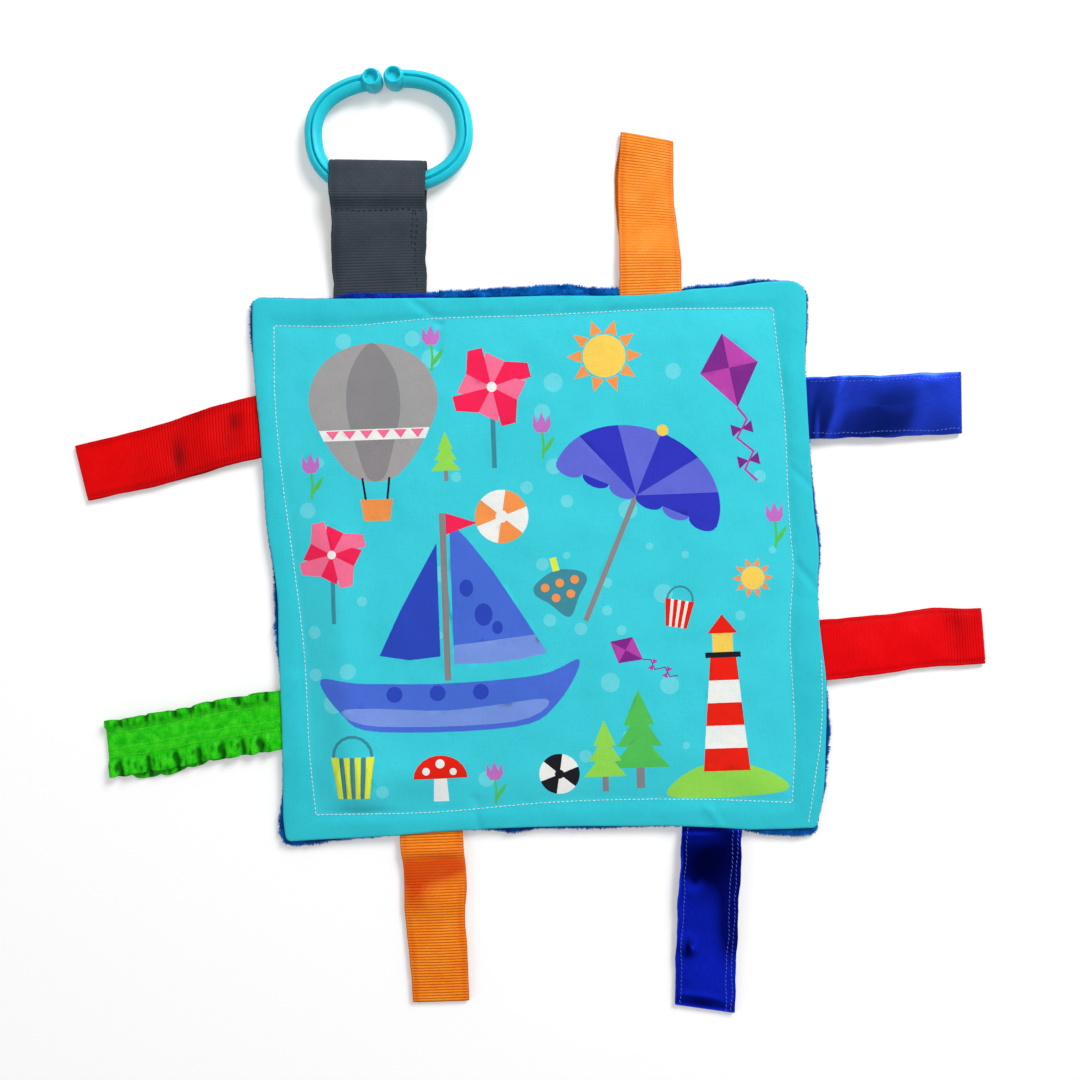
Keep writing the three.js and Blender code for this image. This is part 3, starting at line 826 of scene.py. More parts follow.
def weave_ribbon(tag, sides, ribbed):
    """The ribbon's closed mesh: an outer and an inner face, with a rib at every pitch."""
    line = tag["line"]
    rows = np.arange(len(line["s"]))[:, None] + np.zeros(len(sides), int)
    side = np.zeros(len(line["s"]))[:, None] + np.array(sides)
    width = tag["root_width"]
    from_edge = (1 - np.abs(np.array(sides))) * width / 2
    groove = np.exp(-((from_edge - selvage) / 0.25) ** 2) * ribbed
    level = ribbon_thickness / 2 * (1 - 0.55 * np.exp(-from_edge / 0.12)) - 0.12 * groove
    level = np.zeros(rows.shape) + level
    if ribbed:
        rib = np.abs(np.sin(math.pi * line["along"] / rib_pitch)) ** 0.7
        raised = smooth_through(tag["ribs"], line["s"])
        rib = tag["rib"] * rib * (0.3 + 0.7 * raised)
        level += rib[:, None] * (1 - 0.6 * (from_edge < selvage)) * (1 - np.exp(-from_edge / 0.15))
    outer = on_ribbon(tag, rows, side, level)
    inner = on_ribbon(tag, rows, side, -level)
    count, across = rows.shape
    points = np.concatenate([outer.reshape(-1, 3), inner.reshape(-1, 3)])
    number = np.arange(count * across).reshape(count, across)
    back = number + count * across
    quads = [
        np.stack([number[:-1, :-1], number[:-1, 1:], number[1:, 1:], number[1:, :-1]], -1),
        np.stack([back[1:, :-1], back[1:, 1:], back[:-1, 1:], back[:-1, :-1]], -1),
        np.stack([number[:-1, 0], number[1:, 0], back[1:, 0], back[:-1, 0]], -1),
        np.stack([back[:-1, -1], back[1:, -1], number[1:, -1], number[:-1, -1]], -1),
        np.stack([back[0, :-1], back[0, 1:], number[0, 1:], number[0, :-1]], -1),
        np.stack([number[-1, :-1], number[-1, 1:], back[-1, 1:], back[-1, :-1]], -1),
    ]
    faces = np.concatenate([q.reshape(-1, 4) for q in quads]).tolist()
    piece = mesh_of(tag["name"] + "_ribbon", points, faces)
    corners = np.zeros(len(piece.data.loops), int)
    piece.data.loops.foreach_get("vertex_index", corners)
    layer = piece.data.uv_layers.new(name="weave")
    u = np.tile((side * width / 2).ravel(), 2) * mm
    v = np.tile((line["along"][:, None] + 0 * side).ravel(), 2) * mm
    layer.data.foreach_set("uv", np.stack([u[corners], v[corners]], -1).ravel())
    # Painted shade, kept in an attribute for the material: the dents, the green ribbon's creases,
    # the selvage groove and a rim round the edges are painted darker in place of shade, and a band
    # just inside the selvage is darker too.
    painted_shade_amount = painted_dents_at(tag, line["s"][:, None], side * width / 2) * line["upper"][:, None]
    if "painted_crease_shade" in tag:
        painted_shade_amount = np.maximum(painted_shade_amount, tag["painted_crease_shade"](line["s"][:, None], side))
    selvage_band = 0.3 * np.exp(-((from_edge - 1.7) / 0.8) ** 2) * ribbed
    painted_edge_shade = tag.get("edge_shade", 0.6) * np.exp(-(from_edge / 0.3) ** 2)
    painted_shade_amount = np.maximum(painted_shade_amount, np.maximum(0.35 * groove, np.maximum(selvage_band, painted_edge_shade)))
    painted_shade = piece.data.attributes.new("painted_shade", "FLOAT", "POINT")
    painted_shade.data.foreach_set("value", np.tile(painted_shade_amount.ravel(), 2))
    if ribbed:
        strength = piece.data.attributes.new("ribs", "FLOAT", "POINT")
        strength.data.foreach_set("value", np.tile((raised[:, None] + 0 * side).ravel(), 2))
    faces_outward(piece)
    return smooth_shaded(piece)


def hang_ribbon(piece):
    """Bakes the piece's placement into its mesh."""
    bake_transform(piece)


def multiplied(nodes, links, base, by, share=None):
    """One colour darkened by another, everywhere or where a share is given."""
    mix = nodes.new("ShaderNodeMix")
    mix.data_type = "RGBA"
    mix.blend_type = "MULTIPLY"
    mix.inputs["Factor"].default_value = 1.0
    if share:
        links.new(share, mix.inputs["Factor"])
    links.new(base, mix.inputs["A"])
    links.new(by, mix.inputs["B"])
    return mix.outputs["Result"]


def two_noises(nodes, links, fine, broad, share):
    """A fine and a broad noise added up."""
    fine_part = reckoned(nodes, links, "MULTIPLY", fine, share)
    broad_part = reckoned(nodes, links, "MULTIPLY", broad, 1 - share)
    return reckoned(nodes, links, "ADD", fine_part, broad_part)


def tinted_by_painted_shade(nodes, links, colour, darkest):
    """A colour darkened by the ribbon's painted shade: in its dents, creases, grooves and along its
    edges.
    """
    painted_shade = nodes.new("ShaderNodeAttribute")
    painted_shade.attribute_name = "painted_shade"
    shade = ramp(nodes, links, painted_shade.outputs["Fac"], [(0.0, (1, 1, 1, 1)), (1.0, darkest)])
    return multiplied(nodes, links, colour, shade)


def grosgrain_material(name, main, shade, glow, painted_rib_shade, painted_shade_tint):
    """Ribbed polyester: fine warp threads along it and a dull sheen, with painted shade between the
    ribs and in the ribbon's dents, groove and edges.
    """
    material, surface, nodes, links = new_material(name)
    fine = noise_texture(nodes, links, texture_place(nodes, links, (1, 0.12, 1), "weave"), 5200, 2)
    place = texture_place(nodes, links, (1, 1, 1), "weave")
    broad = noise_texture(nodes, links, place, 70, 3)
    tone = two_noises(nodes, links, fine, broad, 0.5)
    colour = ramp(nodes, links, tone, [(0.36, shade), (0.5, main), (0.64, glow)])
    # A wave across the ribbon paints shade into the valleys between the ribs, as strongly as the
    # ribs stand out.
    wave = nodes.new("ShaderNodeTexWave")
    wave.bands_direction = "Y"
    wave_scale = math.pi / (10 * rib_pitch * mm)
    set_sockets(wave, {"Scale": wave_scale, "Distortion": 0.6, "Detail Scale": 2.0})
    links.new(place, wave.inputs["Vector"])
    between = ramp(nodes, links, wave.outputs["Fac"], [(0.03, painted_rib_shade), (0.36, (1, 1, 1, 1))])
    ribs = nodes.new("ShaderNodeAttribute")
    ribs.attribute_name = "ribs"
    colour = multiplied(nodes, links, colour, between, ribs.outputs["Fac"])
    colour = tinted_by_painted_shade(nodes, links, colour, painted_shade_tint)
    links.new(colour, surface.inputs["Base Color"])
    set_sockets(surface, {
        "Roughness": 0.5, "Specular IOR Level": 0.06, "Sheen Weight": 0.02, "Sheen Tint": glow,
    })
    bump(nodes, links, surface, fine, 0.35, 0.12 * mm)
    return material


ribbed_sides = [
    -1, -0.985, -0.93, -0.885, -0.84, -0.7, -0.5, -0.25, 0,
    0.25, 0.5, 0.7, 0.84, 0.885, 0.93, 0.985, 1,
]
rib_step = rib_pitch / 5
# Along a tag, in millimetres from its hinge: bow is how far its middle line bends aside, and
# under_shift how far the lower ply does; ribs says how strongly they stand out. Billows are soft
# rises and hollows of the cloth, and dents are spots of painted shade, darker in colour only:
# along, across, height or depth, and their reach both ways. The last two colours paint shade
# between the ribs and in the dents, groove and edges.
grosgrain_tags = [
    {
        "name": "orange_tag_top", "slot": "light_orange_ribbon", "length": 55.4,
        "root_width": 23.2, "tip_width": 19.4, "lean": 0, "fold_skew": 12.3,
        "bow": [(-8, 0.9), (0, 1.0), (14, 0.9), (31, 1.4), (44, 1.0), (50, 0.5), (56, 0.1)],
        "under_shift": [(0, 0), (12, -0.5), (24, 0.5), (36, 1.1), (48, 0.6), (56, 0)],
        "billows": [
            (9, 2, 0.5, 6, 12), (20, -4, 1.0, 8, 9), (31, 5, -0.4, 5, 5), (38, -2, 1.1, 8, 8),
            (50, 3, 0.7, 5, 8),
        ],
        "ribs": [(0, 1), (10, 1), (15, 0.25), (19, 0.3), (26, 0.9), (35, 0.45), (44, 1), (56, 0.9)],
        "tones": [(252, 150, 52), (246, 132, 34), (254, 166, 76)],
        "painted_rib_shade": (0.62, 0.4, 0.3, 1), "painted_shade_tint": (0.84, 0.4, 0.3, 1),
    },
    {
        "name": "red_tag_right", "slot": "red_ribbon", "length": 58.7,
        "root_width": 22.6, "tip_width": 20.7, "lean": 3.1, "fold_skew": -2.5,
        "bow": [(-8, 0), (0, 0), (20, 0.2), (43, 0.6), (52, 0), (58, -0.2)],
        "under_shift": [(0, 0), (20, -0.3), (40, 0.4), (58, 0)],
        "billows": [
            (14, -2, 0.9, 8, 12), (33, 2, 1.0, 9, 9), (46, 4, -0.6, 2.4, 9), (51, 2, 0.9, 3, 10),
            (56, 0, -0.5, 1.6, 9),
        ],
        "painted_dents": [(50, 6, 0.45, 5, 5)],
        "ribs": [(0, 0.2), (10, 0.3), (20, 0.1), (36, 0.1), (43, 0.5), (48, 1), (59, 0.8)],
        "tones": [(234, 2, 10), (220, 0, 6), (244, 10, 18)],
        "painted_rib_shade": (0.6, 0.9, 1, 1), "painted_shade_tint": (0.55, 1, 1, 1),
    },
    {
        "name": "orange_tag_bottom", "slot": "deep_orange_ribbon", "length": 61.1,
        "root_width": 23.5, "tip_width": 20.9, "lean": 1.2, "fold_skew": 0.2,
        "bow": [(-8, 0), (0, 0), (14, 0.4), (30, -0.4), (46, 0.2), (61, 0)],
        "under_shift": [(0, 0), (20, 0.3), (40, -0.3), (61, 0)],
        "billows": [
            (4, 0, 1.0, 4, 14), (10, 1, -1.2, 3.2, 9), (16, -5, -0.9, 3, 5), (23, 1, 1.3, 6, 12),
            (42, 1, 0.9, 11, 12),
        ],
        "painted_dents": [
            (10, 7, 1.0, 4.6, 9), (12.5, -3, 1.0, 5.2, 9), (19, -8, 0.9, 7, 5),
            (10, -10, 0.6, 4, 4),
        ],
        "ribs": [(0, 0.9), (6, 0.8), (9, 0.35), (13, 0.5), (20, 0.9), (30, 1), (61, 1)],
        "tones": [(255, 146, 38), (250, 128, 26), (255, 160, 58)],
        "painted_rib_shade": (0.5, 0.24, 0.16, 1), "painted_shade_tint": (0.76, 0.3, 0.3, 1),
    },
    {
        "name": "red_tag_left", "slot": "red_ribbon", "length": 66.3,
        "root_width": 23.4, "tip_width": 21.5, "lean": 13, "fold_skew": -11.2,
        "bow": [(-8, 0), (0, 0), (12, -0.5), (26, 0.1), (44, 0.5), (56, -0.1), (66, -0.5)],
        "under_shift": [(0, 0), (22, 0.3), (44, -0.2), (66, 0)],
        "billows": [
            (3, 0, 0.8, 3, 10), (8, -4.2, -1.0, 2.0, 3.2), (18, 2, 1.5, 6, 10),
            (29.5, 3, -1.5, 2.2, 5.0), (40, 0, 1.4, 7, 11), (56, 0, 0.6, 7, 11),
        ],
        "painted_dents": [
            (29.5, 2.6, 1.0, 2.6, 6.4), (8, -4.2, 1.0, 2.5, 2.8), (21, -10, 0.6, 3, 1.6),
            (10, 3, 0.3, 4, 4),
        ],
        "ribs": [(0, 1), (32, 1), (40, 0.7), (48, 0.35), (60, 0.15), (66, 0.15)],
        "tones": [(234, 2, 4), (220, 0, 2), (242, 8, 10)],
        "painted_rib_shade": (0.55, 1, 1, 1), "painted_shade_tint": (0.4, 1, 2.2, 1),
    },
]
for tag in grosgrain_tags:
    tag.update(rib=0.17, step=rib_step)
    loop_tag(tag)
    ribbon = weave_ribbon(tag, ribbed_sides, True)
    main, shade, glow = (colour_of(*tone) for tone in tag["tones"])
    ribbon.data.materials.append(grosgrain_material(
        tag["name"] + "_grosgrain", main, shade, glow, tag["painted_rib_shade"], tag["painted_shade_tint"],
    ))
    hang_ribbon(ribbon)
    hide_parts(tag["name"], tag["name"] + "_sewn_end")

# Satin tags
# Two lengths of double-faced satin in royal blue, folded like the others, with pale stitches
# along both edges. The floats of the weave run along the ribbon and shine.
def satin_material(name, main, shade, glow):
    """Satin, which mirrors the room softly in its own blue, painted near black in its dents as
    painted dark reflections.
    """
    material, surface, nodes, links = new_material(name)
    threads = texture_place(nodes, links, (1, 0.05, 1), "weave")
    fine = noise_texture(nodes, links, threads, 6000, 2)
    colour = ramp(nodes, links, fine, [(0.3, shade), (0.7, main)])
    colour = tinted_by_painted_shade(nodes, links, colour, (0.18, 0.18, 0.25, 1))
    links.new(colour, surface.inputs["Base Color"])
    set_sockets(surface, {
        "Metallic": 0.9, "Roughness": 0.24, "Specular IOR Level": 0.1, "Anisotropic": 0.3,
        "Sheen Weight": 0.04, "Sheen Tint": glow,
    })
    bump(nodes, links, surface, fine, 0.12, 0.06 * mm)
    return material


def thread_material(name, tone, shade):
    """Twisted polyester thread, with a fine grain."""
    material, surface, nodes, links = new_material(name)
    place = texture_place(nodes, links, (1, 1, 1))
    grain = noise_texture(nodes, links, place, 3000, 2)
    colour = ramp(nodes, links, grain, [(0.35, shade), (0.65, tone)])
    links.new(colour, surface.inputs["Base Color"])
    set_sockets(surface, {"Roughness": 0.5, "Specular IOR Level": 0.3})
    bump(nodes, links, surface, grain, 0.4, 0.1 * mm)
    return material


bpy.ops.object.select_all(action="DESELECT")
bpy.ops.mesh.primitive_uv_sphere_add(segments=6, ring_count=5, radius=0.5)
dash = bpy.context.object
dash_points = np.array([v.co for v in dash.data.vertices])
dash_faces = [tuple(p.vertices) for p in dash.data.polygons]
bpy.data.objects.remove(dash)


def distances_along(line):
    """How far along a line each of its points lies."""
    return np.concatenate([[0], np.cumsum(np.linalg.norm(np.diff(line, axis=0), axis=1))])


def sew(name, points, ups, pitch, share, thickness, slant=0.1):
    """A row of stitches along a line: each a short length of thread that dives at both ends."""
    run = distances_along(points)
    number = max(1, int(round(run[-1] / pitch)))
    starts = (np.arange(number) + 0.5) * run[-1] / number
    half = pitch * share / 2

    def at(where):
        return np.stack([np.interp(where, run, points[:, k]) for k in range(3)], -1)

    centre, ahead = at(starts), at(starts + half) - at(starts - half)
    length = np.linalg.norm(ahead, axis=1)
    ahead /= np.maximum(length, 1e-6)[:, None]
    up = np.stack([np.interp(starts, run, ups[:, k]) for k in range(3)], -1)
    askew = np.random.default_rng(number).normal(slant, 0.09, number)
    ahead = unit(ahead + unit(np.cross(up, ahead)) * askew[:, None])
    side = unit(np.cross(up, ahead))
    up = np.cross(ahead, side)
    blob = dash_points[None]
    placed = (
        centre[:, None]
        + blob[..., 2:3] * (length * 1.05)[:, None, None] * ahead[:, None]
        + blob[..., 0:1] * thickness * side[:, None]
        + blob[..., 1:2] * thickness * 0.8 * up[:, None]
    )
    placed[..., 2] = np.maximum(placed[..., 2], 0.04)
    faces = [
        tuple(int(i) + n * len(dash_points) for i in face)
        for n in range(number) for face in dash_faces
    ]
    return smooth_shaded(mesh_of(name, placed.reshape(-1, 3), faces))


# The hinges lie this far outside the panel's edge.
panel_edge = -2.6


def sew_along(tag, name, side, wobble, pitch, thickness, share=0.62, slant=0.1):
    """Stitches along the ribbon at a place across it, over its upper face and round the fold."""
    line = tag["line"]
    rows = np.flatnonzero(line["s"] > panel_edge)
    across = side + wobble * wander(line["along"][rows] * 0.8, 7 * side) / tag["root_width"]
    outside = ribbon_thickness / 2 + 0.04
    points = on_ribbon(tag, rows, across, np.full(len(rows), outside))
    away = on_ribbon(tag, rows, across, np.full(len(rows), outside + 1))
    return sew(name, points, away - points, pitch, share, thickness, slant)


def sew_rows(tag, sides, slot, thread, *row):
    """Rows of stitches at some places across the ribbon, which bend with it."""
    sewn = []
    for number, side in enumerate(sides):
        stitches = sew_along(tag, f"{tag['name']}_stitches_{number + 1}", side, *row)
        stitches.data.materials.append(thread)
        hang_ribbon(stitches)
        sewn.append(stitches)
    return sewn


# The arch is the height of the upper ply along the tag, over a line that slants across it. The
# dents are spots of painted shade, dark patches in place of the satin's dark reflections.
satin_tags = [
    {
        "name": "blue_tag_right", "length": 54.3, "root_width": 23, "tip_width": 22.9,
        "lean": 0, "fold_skew": 1.2, "wobble": 0.3,
        "bow": [(-8, 0.3), (0, 0.3), (14, 0.2), (30, 0.1), (54, 0.4)],
        "billows": [(46, 8, 0.3, 4, 4)],
        "arch": [
            (-8, 0), (-2.6, 0), (-1, 0.15), (1, 0.5), (3, 0.9), (5, 1.2), (6.5, 1.25), (9, 0.9),
            (11, 0.75), (15, 0.85), (23, 1.5), (31, 2.2), (36, 2.3), (44, 1.3), (54.3, 0.2),
        ],
        "painted_dents": [(25, 0, 0.3, 12, 16)], "arch_slant": 0.4,
        "tones": [(34, 66, 206), (27, 51, 174), (60, 104, 240)], "rows": [-0.84, 0.84],
    },
    {
        "name": "blue_tag_bottom", "length": 66.3, "root_width": 22.3, "tip_width": 22.3,
        "lean": -4.3, "fold_skew": 9.9, "wobble": 0.3,
        "bow": [(-8, 0), (0, 0), (30, -0.3), (66, 0.2)],
        "billows": [
            (-1, 9, 0.8, 3, 4), (18, -6, 0.5, 2.6, 2.6), (42.2, -7, -1.0, 3, 2.2),
            (63.5, -2, -0.5, 2.4, 8),
        ],
        "arch": [
            (-8, 0), (-2.6, 0), (-0.5, 0.2), (2, 0.8), (6, 1.8), (11, 2.6), (17, 3.1), (24, 3.1),
            (34, 2.6), (59, 0.3), (64.5, 0), (66.3, 0),
        ],
        "arch_slant": 0.1,
        "painted_dents": [
            (11, 3, 1.6, 8.5, 12), (25, 9, 1.4, 12, 6), (38, 9, 1.1, 9, 4.5),
            (42.2, -7, 0.9, 3.4, 2.2), (63.5, -1, 0.9, 2, 9),
        ],
        "tones": [(15, 40, 208), (9, 26, 172), (50, 90, 240)], "rows": [-0.84, 0.86, 0.68],
    },
]
satin_sides = [-1, -0.985, -0.93, *np.linspace(-0.86, 0.86, 25), 0.93, 0.985, 1]
for tag in satin_tags:
    tag.update(step=0.5, rise_from=panel_edge, rise_in=3.5)
    loop_tag(tag)
    ribbon = weave_ribbon(tag, satin_sides, False)
    main, shade, glow = (colour_of(*tone) for tone in tag["tones"])
    ribbon.data.materials.append(satin_material(tag["name"] + "_satin", main, shade, glow))
    thread = thread_material(
        tag["name"] + "_thread", colour_of(104, 128, 224), colour_of(48, 70, 190)
    )
    rows_sewn = sew_rows(tag, tag["rows"], "blue_satin", thread, 0.7, 1.6, 0.27, 0.74, 0.3)
    hang_ribbon(ribbon)
    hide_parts(tag["name"], tag["name"] + "_sewn_end")

# Ruffled green tag
# A green ribbon gathered along both edges: rows of fine stitches hold a flat band in its middle,
# and the fullness stands up in small puffs on either side, pinched in between.
pinches = {
    -1: [2.5, 13.3, 22.6, 30.8, 36.7, 47.3, 57.0],
    1: [5.5, 12.1, 20.0, 28.8, 37.2, 47.7, 58.5],
}
band_edges = {-1: -0.58, 1: 0.34}


def ruffle_parts(s, side):
    """For each place: how far out of the flat band it is, its puff and its pinch."""
    out, puff, pinch = (np.zeros_like(s + side) for part in range(3))
    for edge, places in pinches.items():
        beyond = ease((side - band_edges[edge]) * edge / 0.26)
        lean = 0.8 * edge * (np.abs(side) - 0.7)
        gap = np.min([np.abs(s + lean - at) for at in places], axis=0)
        out += beyond
        fullness = 1 + 0.3 * wander(s * 1.7, 5 + edge)
        puff += beyond * (1 - np.exp(-(gap / 1.7) ** 2)) * fullness
        pinch += beyond * np.exp(-(gap / 0.95) ** 2)
    return out, puff, pinch


def ruffle(s, side, under):
    """How far the puffs rise, and how far the pinches draw the edge in."""
    out, puff, pinch = ruffle_parts(s + 3.1 * (under > 0), side)
    ripple = 0.16 * np.sin(2.1 * s + 3 * side) + 0.06 * np.sin(4.7 * s - 4 * side)
    lifted = 1.6 * puff - 0.3 * pinch + ripple * (0.2 + 0.6 * out)
    lifted = lifted * (1 - 0.6 * under) * ease(s / 2.5)
    spread = np.sign(side) * (0.25 * puff - 0.4 * pinch) * np.abs(side) ** 2 * ease(s / 2.5)
    return lifted, spread


def painted_crease_shade(s, side):
    """Painted shade on the ribbon: how dark it is painted in its pinches, along its gathered rows,
    and in a crumpled pattern over the puffs that the mesh doesn't have.
    """
    out, puff, pinch = ruffle_parts(s, side)
    band = sum(np.exp(-((side - edge) / 0.05) ** 2) for edge in band_edges.values())
    painted_crumple_shade = 0.75 * out * np.clip(np.sin(1.7 * s + 5 * side) * np.sin(0.9 * s - 7 * side), 0, 1)
    return np.clip(1.1 * pinch + 0.25 * band + painted_crumple_shade, 0, 1) * (s > 0)


green_tag = {
    "name": "green_tag_left", "length": 62.7, "root_width": 22.0, "tip_width": 20.8,
    "lean": 7.8, "fold_skew": -3.8, "wobble": 0.3, "step": 0.3, "fold": 1.0,
    "bow": [(-8, 0.3), (0, 0.3), (20, -0.3), (40, 0.3), (64, 0)], "edge_shade": 0.35,
    "under_shift": [(0, 0), (20, 0.2), (32, 1.6), (46, 2.4), (58, 1.6), (63, 0)],
    "billows": [(30, -1, 0.7, 16, 12)], "ruffle": ruffle, "painted_crease_shade": painted_crease_shade,
}
loop_tag(green_tag)
green_sides = [-1, -0.99, *np.linspace(-0.96, 0.96, 41), 0.99, 1]
green_ribbon = weave_ribbon(green_tag, green_sides, False)
green_material, surface, nodes, links = new_material("green_gathered_ribbon")
threads = texture_place(nodes, links, (1, 1, 1), "weave")
fine = noise_texture(nodes, links, threads, 3200, 3, 0.7)
broad = noise_texture(nodes, links, threads, 300, 3)
tone = two_noises(nodes, links, fine, broad, 0.7)
colour = ramp(nodes, links, tone, [
    (0.38, colour_of(8, 146, 4)), (0.5, colour_of(30, 206, 12)), (0.62, colour_of(84, 234, 40)),
])
# Painted shade: the pinches, gathered rows, crumples and edges darken to a deep green.
colour = tinted_by_painted_shade(nodes, links, colour, (0.06, 0.24, 0.08, 1))
links.new(colour, surface.inputs["Base Color"])
set_sockets(surface, {
    "Roughness": 0.4, "Specular IOR Level": 0.08, "Sheen Weight": 0.04,
    "Sheen Tint": colour_of(120, 240, 80),
})
bump(nodes, links, surface, fine, 0.6, 0.16 * mm)
green_ribbon.data.materials.append(green_material)
green_thread = thread_material("green_thread", colour_of(150, 236, 96), colour_of(84, 206, 54))
green_rows = sew_rows(
    green_tag, (-0.55, 0.0, 0.31), "green_ribbon", green_thread, 0.4, 1.2, 0.19,
)
hang_ribbon(green_ribbon)
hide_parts("green_tag_left", "green_tag_left_sewn_end")

# Grey link tag
# Ribbed grey ribbon, 35 mm wide, round the ring's bar. Its two plies are stitched together below
# the bar, so the ring can't slide out, and only the loop above that stitching is open.
link_joint = next(j for j in frame["joints"] if j["name"] == "link_ring_swing")
bar = np.array(link_joint["pos_m"]) / mm
link_hinge = np.array(tag_joints["link_tag"]["pos_m"]) / mm
bar_reach = bar[1] - link_hinge[1]
bar_radius = 3.25
link_fold = 3.65
stitch_reach = 29.4
link_tag = {
    "name": "link_tag", "length": 48.5, "root_width": 34.6, "tip_width": 35.6,
    "lean": -1.7, "fold_skew": 2.9, "wobble": 0.35,
    "bow": [(-8, 0), (0, 0), (12, 0.2), (26, -0.2), (38, 0.1), (50, 0)],
    "billows": [(9, -6, 0.8, 6, 8), (20, 5, 0.8, 6, 9), (14, 12, 0.5, 9, 4)],
    "rib": 0.14, "step": rib_step,
    "ribs": [
        (0, 1), (9, 1), (14, 0.6), (20, 0.25), (27, 0.3), (31, 0.7), (36, 0.8), (39, 0.2), (50, 0),
    ],
}
link_open = bar_reach - link_fold


def link_bed(s):
    """Height midway between the plies: from the seam, over a hump, to the ring's bar."""
    rise = seam_height + (bar[2] - seam_height) * ease(s / link_open)
    hump = 2.3 * np.exp(-((s - 27) / 8.0) ** 2)
    return rise + hump


def link_gap(s):
    """Half the gap between the plies, which opens beyond the cross-stitch."""
    share = ease((s - stitch_reach) / (link_open - stitch_reach))
    return ply_gap / 2 + (link_fold - ply_gap / 2) * share


whole_line = ribbon_line(link_tag["length"], link_bed, link_gap, link_fold, rib_step)
link_tag["line"] = whole_line
link_sides = [
    -1, -0.99, -0.96, -0.925, -0.89, -0.75, -0.6, -0.4, -0.2, 0, 0.2, 0.4, 0.6, 0.75, 0.89, 0.925,
    0.96, 0.99, 1,
]
# The last two colours are painted shade: between the ribs, and in the groove and along the edges.
grey_material = grosgrain_material(
    "grey_grosgrain", colour_of(61, 69, 78), colour_of(55, 62, 71), colour_of(67, 76, 85),
    (0.55, 0.58, 0.62, 1), (0.5, 0.5, 0.52, 1),
)
split_at = stitch_reach + 1.0


def part_of_link(name, keep):
    """A stretch of the grey ribbon, cut from its whole line."""
    part = dict(link_tag)
    part["line"] = {key: value[keep] for key, value in whole_line.items()}
    piece = weave_ribbon(part, link_sides, True)
    piece.name = name
    piece.data.materials.append(grey_material)
    return piece


middle_row = len(whole_line["s"]) // 2
rows = np.arange(len(whole_line["s"]))
below = whole_line["s"] < split_at
upper_strap = part_of_link("link_tag_upper_ribbon", (rows < middle_row) & below)
lower_strap = part_of_link("link_tag_lower_ribbon", (rows > middle_row) & below)
loop_rows = whole_line["s"] >= split_at - 1.01 * rib_step
loop_ribbon = part_of_link("link_tag_loop_ribbon", loop_rows)
for piece in (upper_strap, lower_strap):
    hang_ribbon(piece)
    long = float(np.ptp(whole_line["s"][below]))
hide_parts("link_tag", "link_tag_sewn_end")
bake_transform(loop_ribbon)
grey_thread = thread_material("grey_thread", colour_of(30, 34, 41), colour_of(12, 14, 18))
cross_points = 60
across = np.linspace(-0.93, 0.93, cross_points)
row = int(np.argmin(np.abs(whole_line["s"][:middle_row] - stitch_reach)))
over_ribs = ribbon_thickness / 2 + 0.14
lifts = np.full(cross_points, over_ribs)
points = on_ribbon(link_tag, np.full(cross_points, row), across, lifts)
points[:, 1] += 0.35 * wander(points[:, 0], 2)
ups = np.tile([0, 0, 1.0], (cross_points, 1))
cross = sew("link_tag_cross_stitches", points, ups, 2.1, 0.6, 0.5)
cross.data.materials.append(grey_thread)
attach(cross, "link_tag")
upper_s = whole_line["s"][:middle_row]
for number, side in enumerate((-0.7, -0.78)):
    starts_at = (17, 1)[number]
    rows = np.flatnonzero((upper_s > starts_at) & (upper_s < stitch_reach))
    across = side + 0.02 * wander(upper_s[rows], 3 + number)
    points = on_ribbon(link_tag, rows, across, np.full(len(rows), over_ribs))
    ups = np.tile([0, 0, 1.0], (len(rows), 1))
    edge_row = sew(f"link_tag_edge_stitches_{number + 1}", points, ups, 2.1, 0.6, 0.45)
    edge_row.data.materials.append(grey_thread)
    hang_ribbon(edge_row)

# Link ring
# A moulded link in aqua plastic: a bar with a groove along both faces, bent to a rounded oval and
# left open at the top, where each end carries a barrel-shaped grip with a dished top.
ring_half_width = 31.2
ring_half_length = 23.1
ring_exponent = 2.38
ring_tilt = 3.7
knob_spacing = 8.2
knob_height = 9.6
knob_radius = 3.05
ring_steps = 168
path_half = (ring_half_width - bar_radius, ring_half_length - bar_radius)


def oval_point(angle):
    """A point of the bar's rounded oval, about its own middle."""
    power = 2 / ring_exponent
    c, s = math.cos(angle), math.sin(angle)
    return Vector((
        path_half[0] * math.copysign(abs(c) ** power, c),
        path_half[1] * math.copysign(abs(s) ** power, s), 0,
    ))


bpy.ops.object.select_all(action="DESELECT")
gap_angle = knob_spacing / 2 / path_half[0]
angles = [
    math.pi / 2 + gap_angle + (2 * math.pi - 2 * gap_angle) * i / ring_steps
    for i in range(ring_steps + 1)
]
path = [oval_point(a) for a in angles]
far = np.concatenate([[0], np.cumsum([(b - a).length for a, b in zip(path, path[1:])])])
path = [
    Vector([np.interp(place, far, [p[k] for p in path]) for k in range(3)])
    for place in np.linspace(0, far[-1], ring_steps + 1)
]
section_sides = 96
groove_depth = 1.6
bpy.ops.mesh.primitive_circle_add(
    vertices=section_sides, radius=bar_radius * mm, fill_type="NOTHING"
)
ring = bpy.context.object
ring.name = "link_ring_moulding"
for vertex in ring.data.vertices:
    across_bar, depth = vertex.co.x, vertex.co.y
    groove = groove_depth * mm * math.exp(-((across_bar / mm - 0.4) / 0.34) ** 2)
    slope = 0.3 * mm * min(0, across_bar / (bar_radius * mm))
    depth -= math.copysign(groove - slope, depth) if abs(depth) > 0.6 * mm else 0
    vertex.co = (across_bar, 0, depth)
middle = path[0] * mm
heading = math.atan2((path[1] - path[0]).y, (path[1] - path[0]).x)
